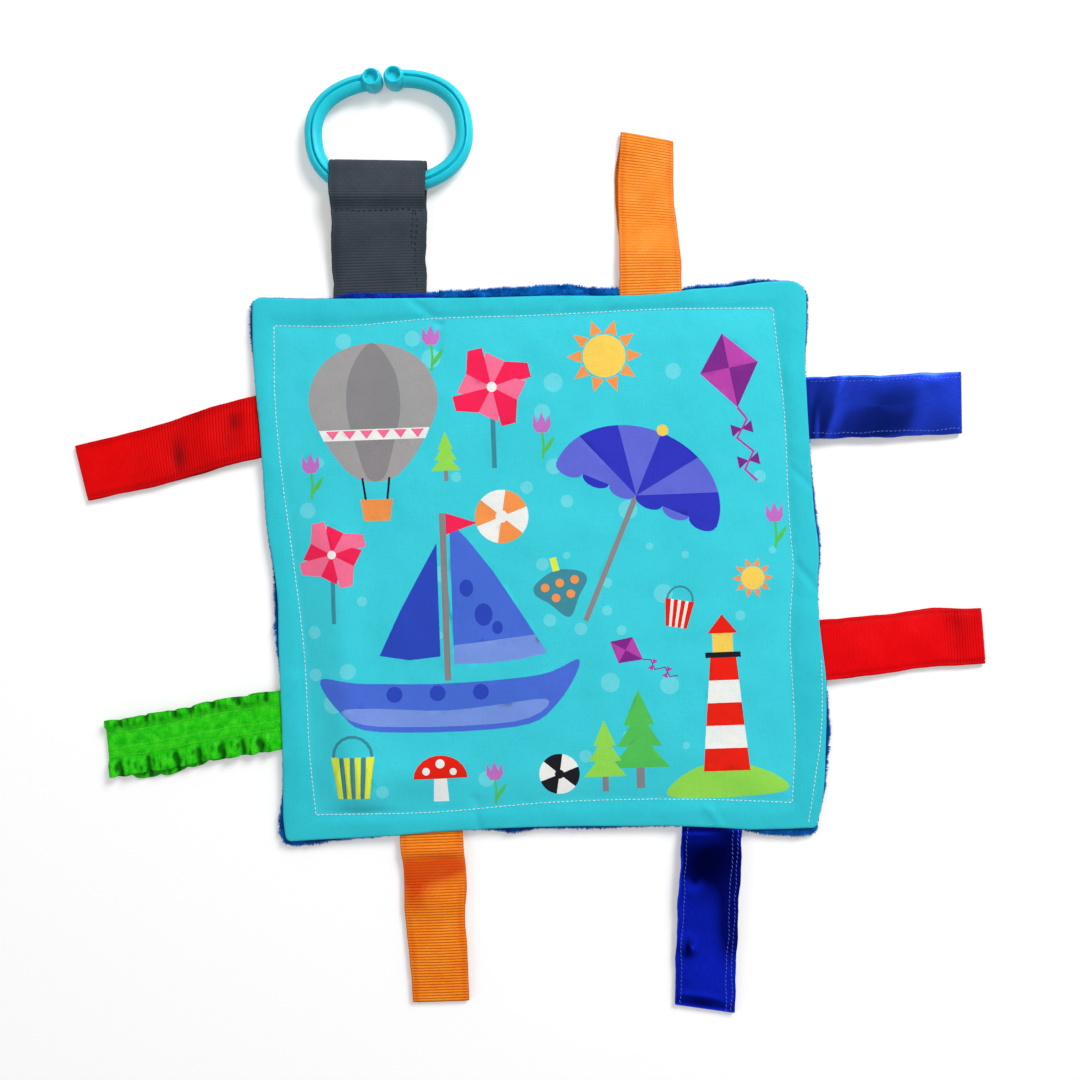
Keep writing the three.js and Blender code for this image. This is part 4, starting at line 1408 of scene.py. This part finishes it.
for vertex in ring.data.vertices:
    x, y, z = vertex.co
    vertex.co = Vector((x * math.sin(heading), -x * math.cos(heading), z)) + middle
bpy.ops.object.mode_set(mode="EDIT")
bpy.ops.mesh.select_mode(type="EDGE")
bpy.ops.mesh.select_all(action="SELECT")
for here, there, beyond in zip(path, path[1:], path[2:] + [path[-1] * 2 - path[-2]]):
    bpy.ops.mesh.extrude_region_move(TRANSFORM_OT_translate={"value": (there - here) * mm})
    before, after = there - here, beyond - there
    turn = math.atan2(before.x * after.y - before.y * after.x, before.dot(after))
    bpy.ops.transform.rotate(value=-turn, orient_axis="Z", center_override=there * mm)
bpy.ops.mesh.edge_face_add()
bpy.ops.mesh.select_all(action="SELECT")
bpy.ops.mesh.normals_make_consistent(inside=False)
bpy.ops.object.mode_set(mode="OBJECT")

knobs = []
dish_depth = 2.3
belly_place = 0.25 * knob_height
belly_swell = 1.28
for sign in (-1, 1):
    bpy.ops.object.select_all(action="DESELECT")
    bpy.ops.mesh.primitive_cylinder_add(
        vertices=48, radius=knob_radius * mm, depth=knob_height * mm
    )
    knob = bpy.context.object
    bpy.ops.object.mode_set(mode="EDIT")
    bpy.ops.mesh.select_all(action="DESELECT")
    bpy.ops.mesh.select_mode(type="FACE")
    bpy.ops.object.mode_set(mode="OBJECT")
    for face in knob.data.polygons:
        face.select = abs(face.normal.z) > 0.9
    bpy.ops.object.mode_set(mode="EDIT")
    bpy.ops.mesh.inset(thickness=0.55 * mm, use_individual=True)
    bpy.ops.mesh.inset(thickness=0.35 * mm, use_individual=True)
    bpy.ops.transform.resize(value=(1, 1, 1 - 2 * dish_depth / knob_height))
    bpy.ops.mesh.inset(thickness=0.8 * mm, use_individual=True)
    for half in (1, -1):
        bpy.ops.mesh.select_all(action="SELECT")
        bpy.ops.mesh.bisect(plane_co=(0, 0, half * belly_place * mm), plane_no=(0, 0, 1))
    bpy.ops.object.mode_set(mode="OBJECT")
    for vertex in knob.data.vertices:
        vertex.select = abs(abs(vertex.co.z) - belly_place * mm) < 0.01 * mm
    for edge in knob.data.edges:
        edge.select = all(knob.data.vertices[i].select for i in edge.vertices)
    bpy.ops.object.mode_set(mode="EDIT")
    bpy.ops.mesh.select_mode(type="EDGE")
    bpy.ops.transform.resize(value=(belly_swell, belly_swell, 1))
    bpy.ops.object.mode_set(mode="OBJECT")
    soft = knob.modifiers.new("soft_edges", "BEVEL")
    soft.width = 0.3 * mm
    soft.segments = 3
    soft.limit_method = "ANGLE"
    bpy.ops.object.modifier_apply(modifier=soft.name)
    for vertex in knob.data.vertices:
        vertex.co += Vector((sign * knob_spacing / 2, path_half[1], 0)) * mm
    knobs.append(knob)
bpy.ops.object.select_all(action="DESELECT")
for piece in (ring, *knobs):
    piece.select_set(True)
bpy.context.view_layer.objects.active = ring
bpy.ops.object.join()
turn = math.radians(ring_tilt)
for vertex in ring.data.vertices:
    x, y, z = vertex.co
    vertex.co = (
        x * math.cos(turn) - y * math.sin(turn) + bar[0] * mm,
        x * math.sin(turn) + y * math.cos(turn) + (bar[1] + path_half[1]) * mm,
        z + bar[2] * mm,
    )
only(ring)
bpy.ops.object.shade_smooth_by_angle(angle=math.radians(40))
ring_material, surface, nodes, links = new_material("aqua_moulded_plastic")
place = texture_place(nodes, links, (1, 1, 1))
clouds = noise_texture(nodes, links, place, 60, 3)
links.new(
    ramp(nodes, links, clouds, [(0.3, colour_of(36, 202, 220)), (0.7, colour_of(46, 213, 230))]),
    surface.inputs["Base Color"],
)
set_sockets(surface, {
    "Roughness": 0.35, "Specular IOR Level": 0.14, "Subsurface Weight": 0.25,
    "Subsurface Radius": (0.4, 1.0, 1.2), "Subsurface Scale": 1.5 * mm,
})
fine = noise_texture(nodes, links, place, 1400, 3)
bump(nodes, links, surface, fine, 0.06, 0.1 * mm)
ring.data.materials.append(ring_material)
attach(ring, "link_ring")
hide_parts("link_ring")

# Printed front
# Plain woven cotton, printed before it was cut, with its edges turned under by 7 mm. The print is
# a general one of boats, kites and balloons. Its shapes are cut into the cloth's mesh.
ink = {
    # The border is the ground a little darker: painted shade on the padded cloth outside the
    # stitching.
    "ground": (60, 208, 223), "border": (50, 200, 215), "dot": (104, 217, 229),
    "blue": (74, 110, 217),
    "light_blue": (123, 152, 230), "deep_blue": (44, 72, 190), "indigo": (46, 52, 190),
    "violet": (98, 106, 216), "grey": (164, 160, 161), "slate": (140, 136, 139),
    "purple": (126, 38, 138), "magenta": (186, 66, 170), "pink": (250, 32, 84),
    "pale_pink": (252, 112, 150), "yellow": (250, 208, 88), "lemon": (230, 240, 70),
    "orange": (250, 150, 78), "red": (238, 30, 12), "lime": (150, 222, 82),
    "green": (84, 196, 88), "teal": (62, 140, 158), "white": (244, 244, 240),
    "black": (22, 22, 30), "lilac": (198, 112, 198),
}
shapes = []


def ink_in(colour, outline):
    """Adds one printed shape: a closed outline in millimetres, over what is printed before."""
    shapes.append((np.array(outline, float), colour))


def turned(points, angle, x, y, size=1.0):
    """Points turned by an angle in degrees, scaled and moved."""
    a = math.radians(angle)
    points = np.array(points, float) * size
    return np.stack([
        x + points[:, 0] * math.cos(a) - points[:, 1] * math.sin(a),
        y + points[:, 0] * math.sin(a) + points[:, 1] * math.cos(a),
    ], -1)


def oval(x, y, wide, high=None, angle=0, start=0, end=360):
    """An ellipse, or the slice of one between two angles."""
    high = wide if high is None else high
    steps = max(8, int(abs(end - start) / 360 * max(12, 2.2 * max(wide, high))))
    a = np.radians(np.linspace(start, end, steps + 1))
    points = np.stack([wide * np.cos(a), high * np.sin(a)], -1)
    points = points[:-1] if end - start == 360 else np.vstack([[0, 0], points])
    return turned(points, angle, x, y)


def curved(points, steps=5):
    """A smooth closed outline through a few points."""
    p = np.array(points, float)
    before, after, beyond = np.roll(p, 1, 0), np.roll(p, -1, 0), np.roll(p, -2, 0)
    out = []
    for t in np.arange(steps) / steps:
        out.append(0.5 * (
            2 * p + (after - before) * t + (2 * before - 5 * p + 4 * after - beyond) * t ** 2
            + (3 * p - before - 3 * after + beyond) * t ** 3
        ))
    return np.stack(out, 1).reshape(-1, 2)


def stroke(points, width):
    """A line of even width with square ends."""
    p = np.array(points, float)
    ahead = np.gradient(p, axis=0)
    side = unit(np.stack([-ahead[:, 1], ahead[:, 0]], -1))
    return np.vstack([p + side * width / 2, (p - side * width / 2)[::-1]])


# The motifs, each drawn in millimetres about its own place.
def stamp(x, y, size=1.0, angle=0.0):
    """A way to print outlines at one motif's place, size and angle."""
    def put(colour, outline):
        ink_in(colour, turned(outline, angle, x, y, size))
    return put


def block(low, high, wide, top=None):
    """An upright bar, or one that narrows to the width at its top."""
    top = wide if top is None else top
    return [(-wide, low), (wide, low), (top, high), (-top, high)]


def sailing_boat(x, y):
    put = stamp(x, y)
    hull = [
        (-47, 2), (-30, 0), (0, -1), (34, 1), (49, 6), (40, -10), (24, -18), (-26, -18), (-40, -10),
    ]
    put("blue", curved(hull))
    put("light_blue", curved([(-38, -9), (0, -11), (36, -8), (24, -16), (-26, -16)]))
    for port in (-20, -4, 12):
        ink_in("deep_blue", oval(x + port, y - 4.5, 3.0))
    put("slate", block(0, 62, 1.2))
    put("blue", [(2.5, 6), (15, 6), (27, 7), (37, 9), (28, 24), (18, 40), (9, 52), (2.5, 59)])
    put("light_blue", [(2.5, 6), (15, 6), (27, 7), (37, 9), (33, 16), (2.5, 13)])
    put("deep_blue", [(-2.5, 9), (-14, 8), (-25, 10), (-17, 26), (-9, 40), (-2.5, 51)])
    for right, up, radius in ((14, 24, 3.4), (8, 34, 2.6), (19, 19, 2)):
        ink_in("deep_blue", oval(x + right, y + up, radius, radius * 1.25))
    put("pink", [(1.2, 62), (13, 58), (1.2, 54)])


def balloon(x, y, size):
    put = stamp(x, y, size)
    put("grey", curved([
        (0, 24), (17, 18), (24, 3), (18, -13), (7, -26), (-7, -26), (-18, -13), (-24, 3), (-17, 18),
    ]))
    put("slate", curved([
        (0, 24), (8, 14), (10, 0), (7, -14), (3, -26), (-3, -26), (-7, -14), (-10, 0), (-8, 14),
    ]))
    put("white", [(-20.5, -8), (20.5, -8), (18.8, -12), (-18.8, -12)])
    for k in range(6):
        left = -18 + k * 6.3
        put("pale_pink", [(left, -8.4), (left + 5, -8.4), (left + 2.5, -11.6)])
    for side in (-5, 5):
        put("black", stroke([(side, -26), (side * 0.8, -34)], 0.8))
    put("orange", [(-6, -34), (6, -34), (4.8, -42), (-4.8, -42)])


def parasol(x, y, size, angle):
    put = stamp(x, y, size, angle)
    put("slate", [(-1, 0), (1, 0), (1, -50), (-1, -50)])
    for k in range(6):
        put("indigo" if k % 2 == 0 else "violet", oval(0, 0, 32, 25, 0, 30 * k, 30 * k + 30))
    for k in range(6):
        scallop = oval(-26.6 + 10.6 * k, 0, 5.3, 3, 0, 180, 360)[1:]
        put("indigo" if k % 2 else "violet", scallop)
    put("yellow", oval(0, 26, 2.2))


def pinwheel(x, y, size, stick, blades):
    stamp(x, y, size)(stick, [(-0.9, 0), (0.9, 0), (0.9, -30), (-0.9, -30)])
    for k in range(4):
        put = stamp(x, y, size, 90 * k + 12)
        put(blades[0], [(0, 0), (15, 0), (15, 5.5), (7, 8)])
        put(blades[1], [(0, 0), (7, 8), (1, 13), (-1, 9)])
    ink_in("white", oval(x, y, 1.9 * size))


def kite(x, y, size, angle, tones):
    put = stamp(x, y, size, angle)
    tail = [(0, -15), (2.5, -20), (-2.5, -26), (2.5, -32), (-2, -38), (1.5, -43)]
    put(tones[1], stroke(tail, 1.0))
    for at in (-23, -35):
        put(tones[0], [(0, at), (4, at + 2.4), (4, at - 2.4)])
        put(tones[0], [(0, at), (-4, at + 2.4), (-4, at - 2.4)])
    put(tones[0], [(0, 13), (0, 0), (-11, 0)])
    put(tones[1], [(0, 13), (11, 0), (0, 0)])
    put(tones[1], [(-11, 0), (0, 0), (0, -15)])
    put(tones[0], [(0, 0), (11, 0), (0, -15)])


def sun(x, y, size):
    for k in range(10):
        stamp(x, y, size, 36 * k)("orange", [(8.5, -2.4), (14, 0), (8.5, 2.4)])
    ink_in("yellow", oval(x, y, 8 * size))


def ball(x, y, size, tones):
    for k in range(6):
        stamp(x, y, size, 20)(tones[k % 2], oval(0, 0, 11, 11, 0, 60 * k, 60 * k + 60))
    ink_in(tones[1], oval(x, y, 2.6 * size))


def lighthouse(x, y):
    put = stamp(x, y)
    put("lime", curved([(-20, -4), (-10, 2), (4, 3), (18, -2), (22, -8), (0, -10), (-21, -9)]))
    for k in range(5):
        low, high = 8.6 - k * 0.75, 8.6 - (k + 1) * 0.75
        put("red" if k % 2 == 0 else "white", block(8.4 * k, 8.4 * k + 8.4, low, high))
    put("black", block(42, 44, 6.6))
    put("yellow", block(44, 51, 3.8))
    put("red", [(-5.6, 51), (5.6, 51), (0, 58)])


def fir_tree(x, y, size, tone):
    put = stamp(x, y, size)
    put("slate", block(-4, 4, 1.4))
    for k in range(3):
        wide, low = 10 - 2.4 * k, 3 + 7.2 * k
        put(tone, [(-wide, low), (wide, low), (0, low + 12)])


def spinning_top(x, y, size, angle):
    put = stamp(x, y, size, angle)
    put("teal", curved([
        (0, 7), (9, 4), (10.5, 0), (6, -5), (0, -12), (-6, -5), (-10.5, 0), (-9, 4),
    ]))
    put("lemon", block(6.6, 12, 1.3))
    for right, up in ((-6, 1.5), (0, 1.8), (6, 1.5), (-3, -3.4), (3, -3.4)):
        put("orange", oval(right, up, 1.7))


def pail(x, y, size, body, stripe, angle):
    put = stamp(x, y, size, angle)
    handle = [(-8 * math.cos(a), 8 + 8.5 * math.sin(a)) for a in np.linspace(0, math.pi, 10)]
    put("teal", stroke(handle, 1.2))
    put(body, [(-9, 8), (9, 8), (6.5, -9), (-6.5, -9)])
    for at in (-4.6, 0, 4.6):
        foot = at * 0.78
        put(stripe, [(at - 1, 8), (at + 1, 8), (foot + 0.8, -9), (foot - 0.8, -9)])


def tulip(x, y, size, tone):
    put = stamp(x, y, size)
    put("green", stroke([(0, 0), (0.6, -8), (0, -15)], 1.2))
    put("green", curved([(0, -13), (4, -9), (6, -4), (2, -8)]))
    put(tone, [
        (-4, 7), (-2, 3), (0, 8), (2, 3), (4, 7), (4.4, 1), (2.4, -2), (-2.4, -2), (-4.4, 1),
    ])


def mushroom(x, y, size):
    put = stamp(x, y, size)
    put("white", [(-3, -9), (3, -9), (2.4, 1), (-2.4, 1)])
    put("red", oval(0, 0, 10.5, 9, 0, 0, 180)[1:])
    for right, up, radius in ((-5.5, 3, 1.5), (0, 5.8, 1.8), (5, 2.6, 1.4)):
        put("white", oval(right, up, radius))


random_dots = random.Random(12)
dots = []
while len(dots) < 58:
    dot = (
        random_dots.uniform(-86, 86), random_dots.uniform(-84, 87),
        random_dots.choice([1.4, 1.9, 2.4, 3, 3.6]),
    )
    if all(math.hypot(dot[0] - d[0], dot[1] - d[1]) > 8.5 for d in dots):
        dots.append(dot)
for x, y, r in dots:
    ink_in("dot", oval(x, y, r))
sailing_boat(-36, -42)
balloon(-60, 60, 1.0)
pinwheel(-16, 66, 1.0, "teal", ("pink", "pale_pink"))
sun(26, 76, 1.0)
kite(72, 70, 1.0, 10, ("purple", "magenta"))
parasol(36, 24, 1.0, -24)
ball(-14, 18, 0.9, ("orange", "white"))
pinwheel(-77, 6, 0.85, "teal", ("pale_pink", "pink"))
lighthouse(66, -79)
fir_tree(34, -80, 1.1, "green")
fir_tree(21, -82, 0.8, "lime")
spinning_top(7, -9, 0.95, 14)
kite(30, -33, 0.5, 60, ("magenta", "purple"))
ball(4, -78, 0.68, ("white", "black"))
mushroom(-40, -78, 0.95)
pail(-72, -76, 0.9, "lemon", "teal", 0)
pail(50, -20, 0.6, "red", "white", -10)
sun(78, -8, 0.55)
fir_tree(-34, 34, 0.55, "lime")
for x, y in ((-38, 84), (87, 14), (-84, 38), (2, 50)):
    tulip(x, y, 0.75, "lilac")
tulip(-20, -78, 0.7, "lilac")

stitch_line = [
    (-95.9, 91.6), (-67.7, 90.6), (-39.3, 92.1), (1, 92.1), (54.8, 92.6), (89.1, 91.6),
    (91.8, 55.9), (92.8, 6.3), (93.3, -1.9), (91.4, -24.5), (91.5, -72.7), (89.8, -91.8),
    (60.1, -89.6), (3.2, -88.5), (-43.6, -90.6), (-86.8, -90.1), (-88, -73.4), (-89.2, -26.6),
    (-91.9, 4.7), (-94.8, 34.2), (-96.5, 66.9),
]
# The line's sides run between these of its points, the last of which is its first one again.
stitch_corners = [0, 5, 11, 15, 21]
stitch_pitch = 1.65


def smooth_line(stops, count):
    """Evenly spaced points of a smooth line through its stops."""
    far = distances_along(stops)
    where = np.linspace(0, far[-1], count)
    return np.stack([smooth_through(list(zip(far, stops[:, k])), where) for k in range(2)], -1)


def stitch_side(first, last):
    """One side of the top-stitching, smoothly through its points."""
    stops = np.array([stitch_line[i % len(stitch_line)] for i in range(first, last + 1)])
    long = distances_along(stops)[-1]
    return smooth_line(stops, max(2, int(round(long / (stitch_pitch / 2)))) + 1)


stitch_runs = [stitch_side(*ends) for ends in zip(stitch_corners, stitch_corners[1:])]
stitch_path = np.vstack([run[:-1] for run in stitch_runs])


def distance_to(points, loop):
    """Distance of each point from a closed line of points."""
    best = np.full(len(points), 1e9)
    for a, b in zip(loop, np.roll(loop, -1, 0)):
        ab = b - a
        t = np.clip(((points - a) @ ab) / max(ab @ ab, 1e-9), 0, 1)
        best = np.minimum(best, np.linalg.norm(points - a - t[:, None] * ab, axis=1))
    return best


cotton_thickness = 0.35
border_height = 4.35
stitch_height = 3.95
crown_height = 5.2
# Creases of the cloth: from, to, height and width, in millimetres.
cloth_creases = [
    ((-44.3, 98.9), (-34.3, 90.4), -0.7, 1.7), ((-34.3, 90.4), (-35.8, 80.5), -0.6, 1.8),
    ((-27.6, -86.5), (-26.9, -97.6), -0.6, 1.6), ((-76, 8), (-75, -28), 2.6, 8.5),
    ((-74, -42), (-70, -82), 2.9, 8.5), ((-72, -76), (-34, -77), 1.0, 7),
    ((52, -16), (40, -36), -0.8, 5), ((58, -92), (63, -99), 0.5, 1.5),
    ((94, 32), (101, 25), -0.5, 1.5), ((-96, 68), (-103, 61), 0.5, 1.5),
    ((95, -4), (101, -12), -0.5, 1.5), ((8, 93), (14, 100), -0.5, 1.6),
    ((-93, -40), (-99, -47), 0.5, 1.5),
]


def print_level(points):
    """Height of the printed cloth: the padded border, the sewn channel and the crumpled middle."""
    to_edge = distance_to(points, edge_line)
    to_stitch = distance_to(points, stitch_path)
    middle = inside_of(points, stitch_path)
    lift = seam_lift(points)
    border = border_height + 0.2 * np.sin(np.clip(to_edge / 9, 0, 1) * math.pi) + lift
    puckers = noise_at(points, 6.5, 2, 1)
    border += 0.36 * puckers * ease(to_edge / 3)
    border += 0.12 * (1 - ease((to_edge - 6.6) / 1.2))
    broad = noise_at(points, 34, 5)
    fold = noise_at(points, 13, 6)
    crown = stitch_height + (crown_height - stitch_height) * (1 - np.exp(-to_stitch / 8))
    crown += ease(to_stitch / 12) * (0.5 * broad + 0.4 * fold) + lift * np.exp(-to_stitch / 4)
    crown += 0.3 * puckers * np.exp(-to_stitch / 7) * ease(to_stitch / 1.5)
    for start, end, rise, wide in cloth_creases:
        crease = distance_to(points, np.array([start, end], float))
        bend = rise * np.exp(-(crease / wide) ** 2)
        crown = crown + bend
        border = border + bend
    pinch = np.exp(-(to_stitch / 1.8) ** 2)
    level = np.where(middle, crown, border)
    return level * (1 - pinch) + (stitch_height + lift * 0.5) * pinch


# The cloth's mesh is finer along the stitching, the edge and the narrow creases.
left = -right_of(stitch_path)
near_stitch = [
    (stitch_path + left * offset)[:: 1 if offset == 0 else 2] for offset in (0, -0.8, 0.8, -2, 2)
]
near_edge = [square_ring(inset)[::skip] for inset, skip in (
    (0.5, 1), (1.2, 1), (2.4, 2), (4.5, 2), (6.4, 2), (7.6, 2),
)]
near_creases = []
for start, end, rise, wide in cloth_creases:
    if wide < 3:
        ahead = np.array(end) - np.array(start)
        ahead, long = ahead / np.linalg.norm(ahead), np.linalg.norm(ahead)
        side = np.array([-ahead[1], ahead[0]])
        near_creases += [
            start + ahead * along + side * off
            for along in np.arange(-1.4, long + 1.5, 0.9) for off in np.arange(-2.7, 2.8, 0.9)
        ]
near_creases = np.array(near_creases)
near_creases = near_creases[inside_of(near_creases, square_ring(0.8))]
edge_round = 0.55
cloth_border = square_ring(edge_round * (1 - math.sqrt(0.5)))
outlines = [outline for outline, colour in shapes]
extra = np.vstack([*near_edge, *near_stitch, near_creases])
places, faces, rim = lay_cloth(cloth_border, outlines, extra, 2.1)
heights = print_level(places)
edge_gap = distance_to(places, edge_line)
over = np.clip(1 - edge_gap / edge_round, 0, 1)
heights -= edge_round * (1 - np.sqrt(np.clip(1 - over ** 2, 0, 1)))
centres = places[np.array(faces)].mean(1)
tones = np.tile(colour_of(*ink["ground"]), (len(faces), 1))
# Outside the stitching, and on the hem, the ground is painted a little darker as painted shade.
tones[~inside_of(centres, stitch_path)] = colour_of(*ink["border"])
for outline, colour in shapes:
    tones[inside_of(centres, outline)] = colour_of(*ink[colour])
lift = seam_lift(places[rim])
# The cloth rolls over its edge and back under as the hem: how far inside the edge, how far down.
hem_profile = [
    (edge_round * (1 - math.cos(math.radians(a))), edge_round * (math.sin(math.radians(a)) - 1))
    for a in (22, 0, -22, -45, -68, -90)
]
hem_profile += [(3.5, -2 * edge_round), (hem, -2 * edge_round)]
base = len(places)
all_points = [at_height(places, heights)]
all_faces = list(faces)
previous = list(rim)
for step, (inset, drop) in enumerate(hem_profile):
    all_points.append(at_height(square_ring(inset), border_height + drop + lift))
    number = [base + step * len(rim) + i for i in range(len(rim))]
    following = number[1:] + number[:1]
    before = previous[1:] + previous[:1]
    all_faces += list(zip(before, previous, number, following))
    previous = number
printed = mesh_of("printed_front", np.vstack(all_points), all_faces)
hem_tones = np.tile(colour_of(*ink["border"]), (len(all_faces) - len(faces), 1))
face_tones = np.vstack([tones, hem_tones])
attribute = printed.data.color_attributes.new(name="print", type="FLOAT_COLOR", domain="CORNER")
corner_tones = np.repeat(face_tones, [len(f) for f in all_faces], axis=0)
attribute.data.foreach_set("color", corner_tones.ravel())
smooth_shaded(printed)
thicken(printed, cotton_thickness, -1)

cotton, surface, nodes, links = new_material("printed_cotton")
colours = nodes.new("ShaderNodeVertexColor")
colours.layer_name = "print"
place = texture_place(nodes, links, (1, 1, 1))
warp_place = texture_place(nodes, links, (1, 0.12, 1))
weft_place = texture_place(nodes, links, (0.12, 1, 1))
warp_threads = noise_texture(nodes, links, warp_place, 2600, 2)
weft_threads = noise_texture(nodes, links, weft_place, 2600, 2)
threads = reckoned(nodes, links, "ADD", warp_threads, weft_threads)
faded = ramp(nodes, links, threads, [(0.75, (0.92, 0.94, 0.94, 1)), (1.0, (1, 1, 1, 1))])
colour = multiplied(nodes, links, colours.outputs["Color"], faded)
mottle = noise_texture(nodes, links, place, 45, 4)
wash = ramp(nodes, links, mottle, [(0.3, (0.88, 0.95, 0.955, 1)), (0.6, (1, 1, 1, 1))])
links.new(multiplied(nodes, links, colour, wash), surface.inputs["Base Color"])
set_sockets(surface, {"Roughness": 0.82, "Specular IOR Level": 0.12, "Sheen Weight": 0.05})
bump(nodes, links, surface, threads, 0.35, 0.12 * mm)
printed.data.materials.append(cotton)
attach(printed, "square")
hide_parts("front_panel")

# Stitching
# White polyester thread. One row of lockstitch, about ten millimetres inside the edge, goes
# through all the layers, and a short row near the lower right edge closes the turning gap.
white_thread = thread_material("white_thread", colour_of(254, 254, 254), colour_of(236, 241, 242))


def sew_cloth(name, line, height, up=1.0, share=0.7, thickness=0.28):
    """A row of stitches along a line, at one height or at one for each of its points."""
    ups = np.tile([0, 0, up], (len(line), 1))
    return sew(name, at_height(line, height), ups, stitch_pitch, share, thickness)


sewn = []
for number, run in enumerate(stitch_runs):
    sewn.append(sew_cloth(f"top_stitches_{number + 1}", run, print_level(run) + 0.13))
    sewn.append(sew_cloth(f"under_stitches_{number + 1}", run, 0.72, -1.0, 0.72, 0.45))
closing = smooth_line(np.array([
    (102.3, -39.1), (102.2, -50), (102, -58.9), (100.8, -70), (99.1, -80.1), (95.5, -99.5),
]), 70)
sewn.append(sew_cloth("closing_stitches", closing, print_level(closing) + 0.1))
for stitches in sewn:
    stitches.data.materials.append(white_thread)
    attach(stitches, "square")
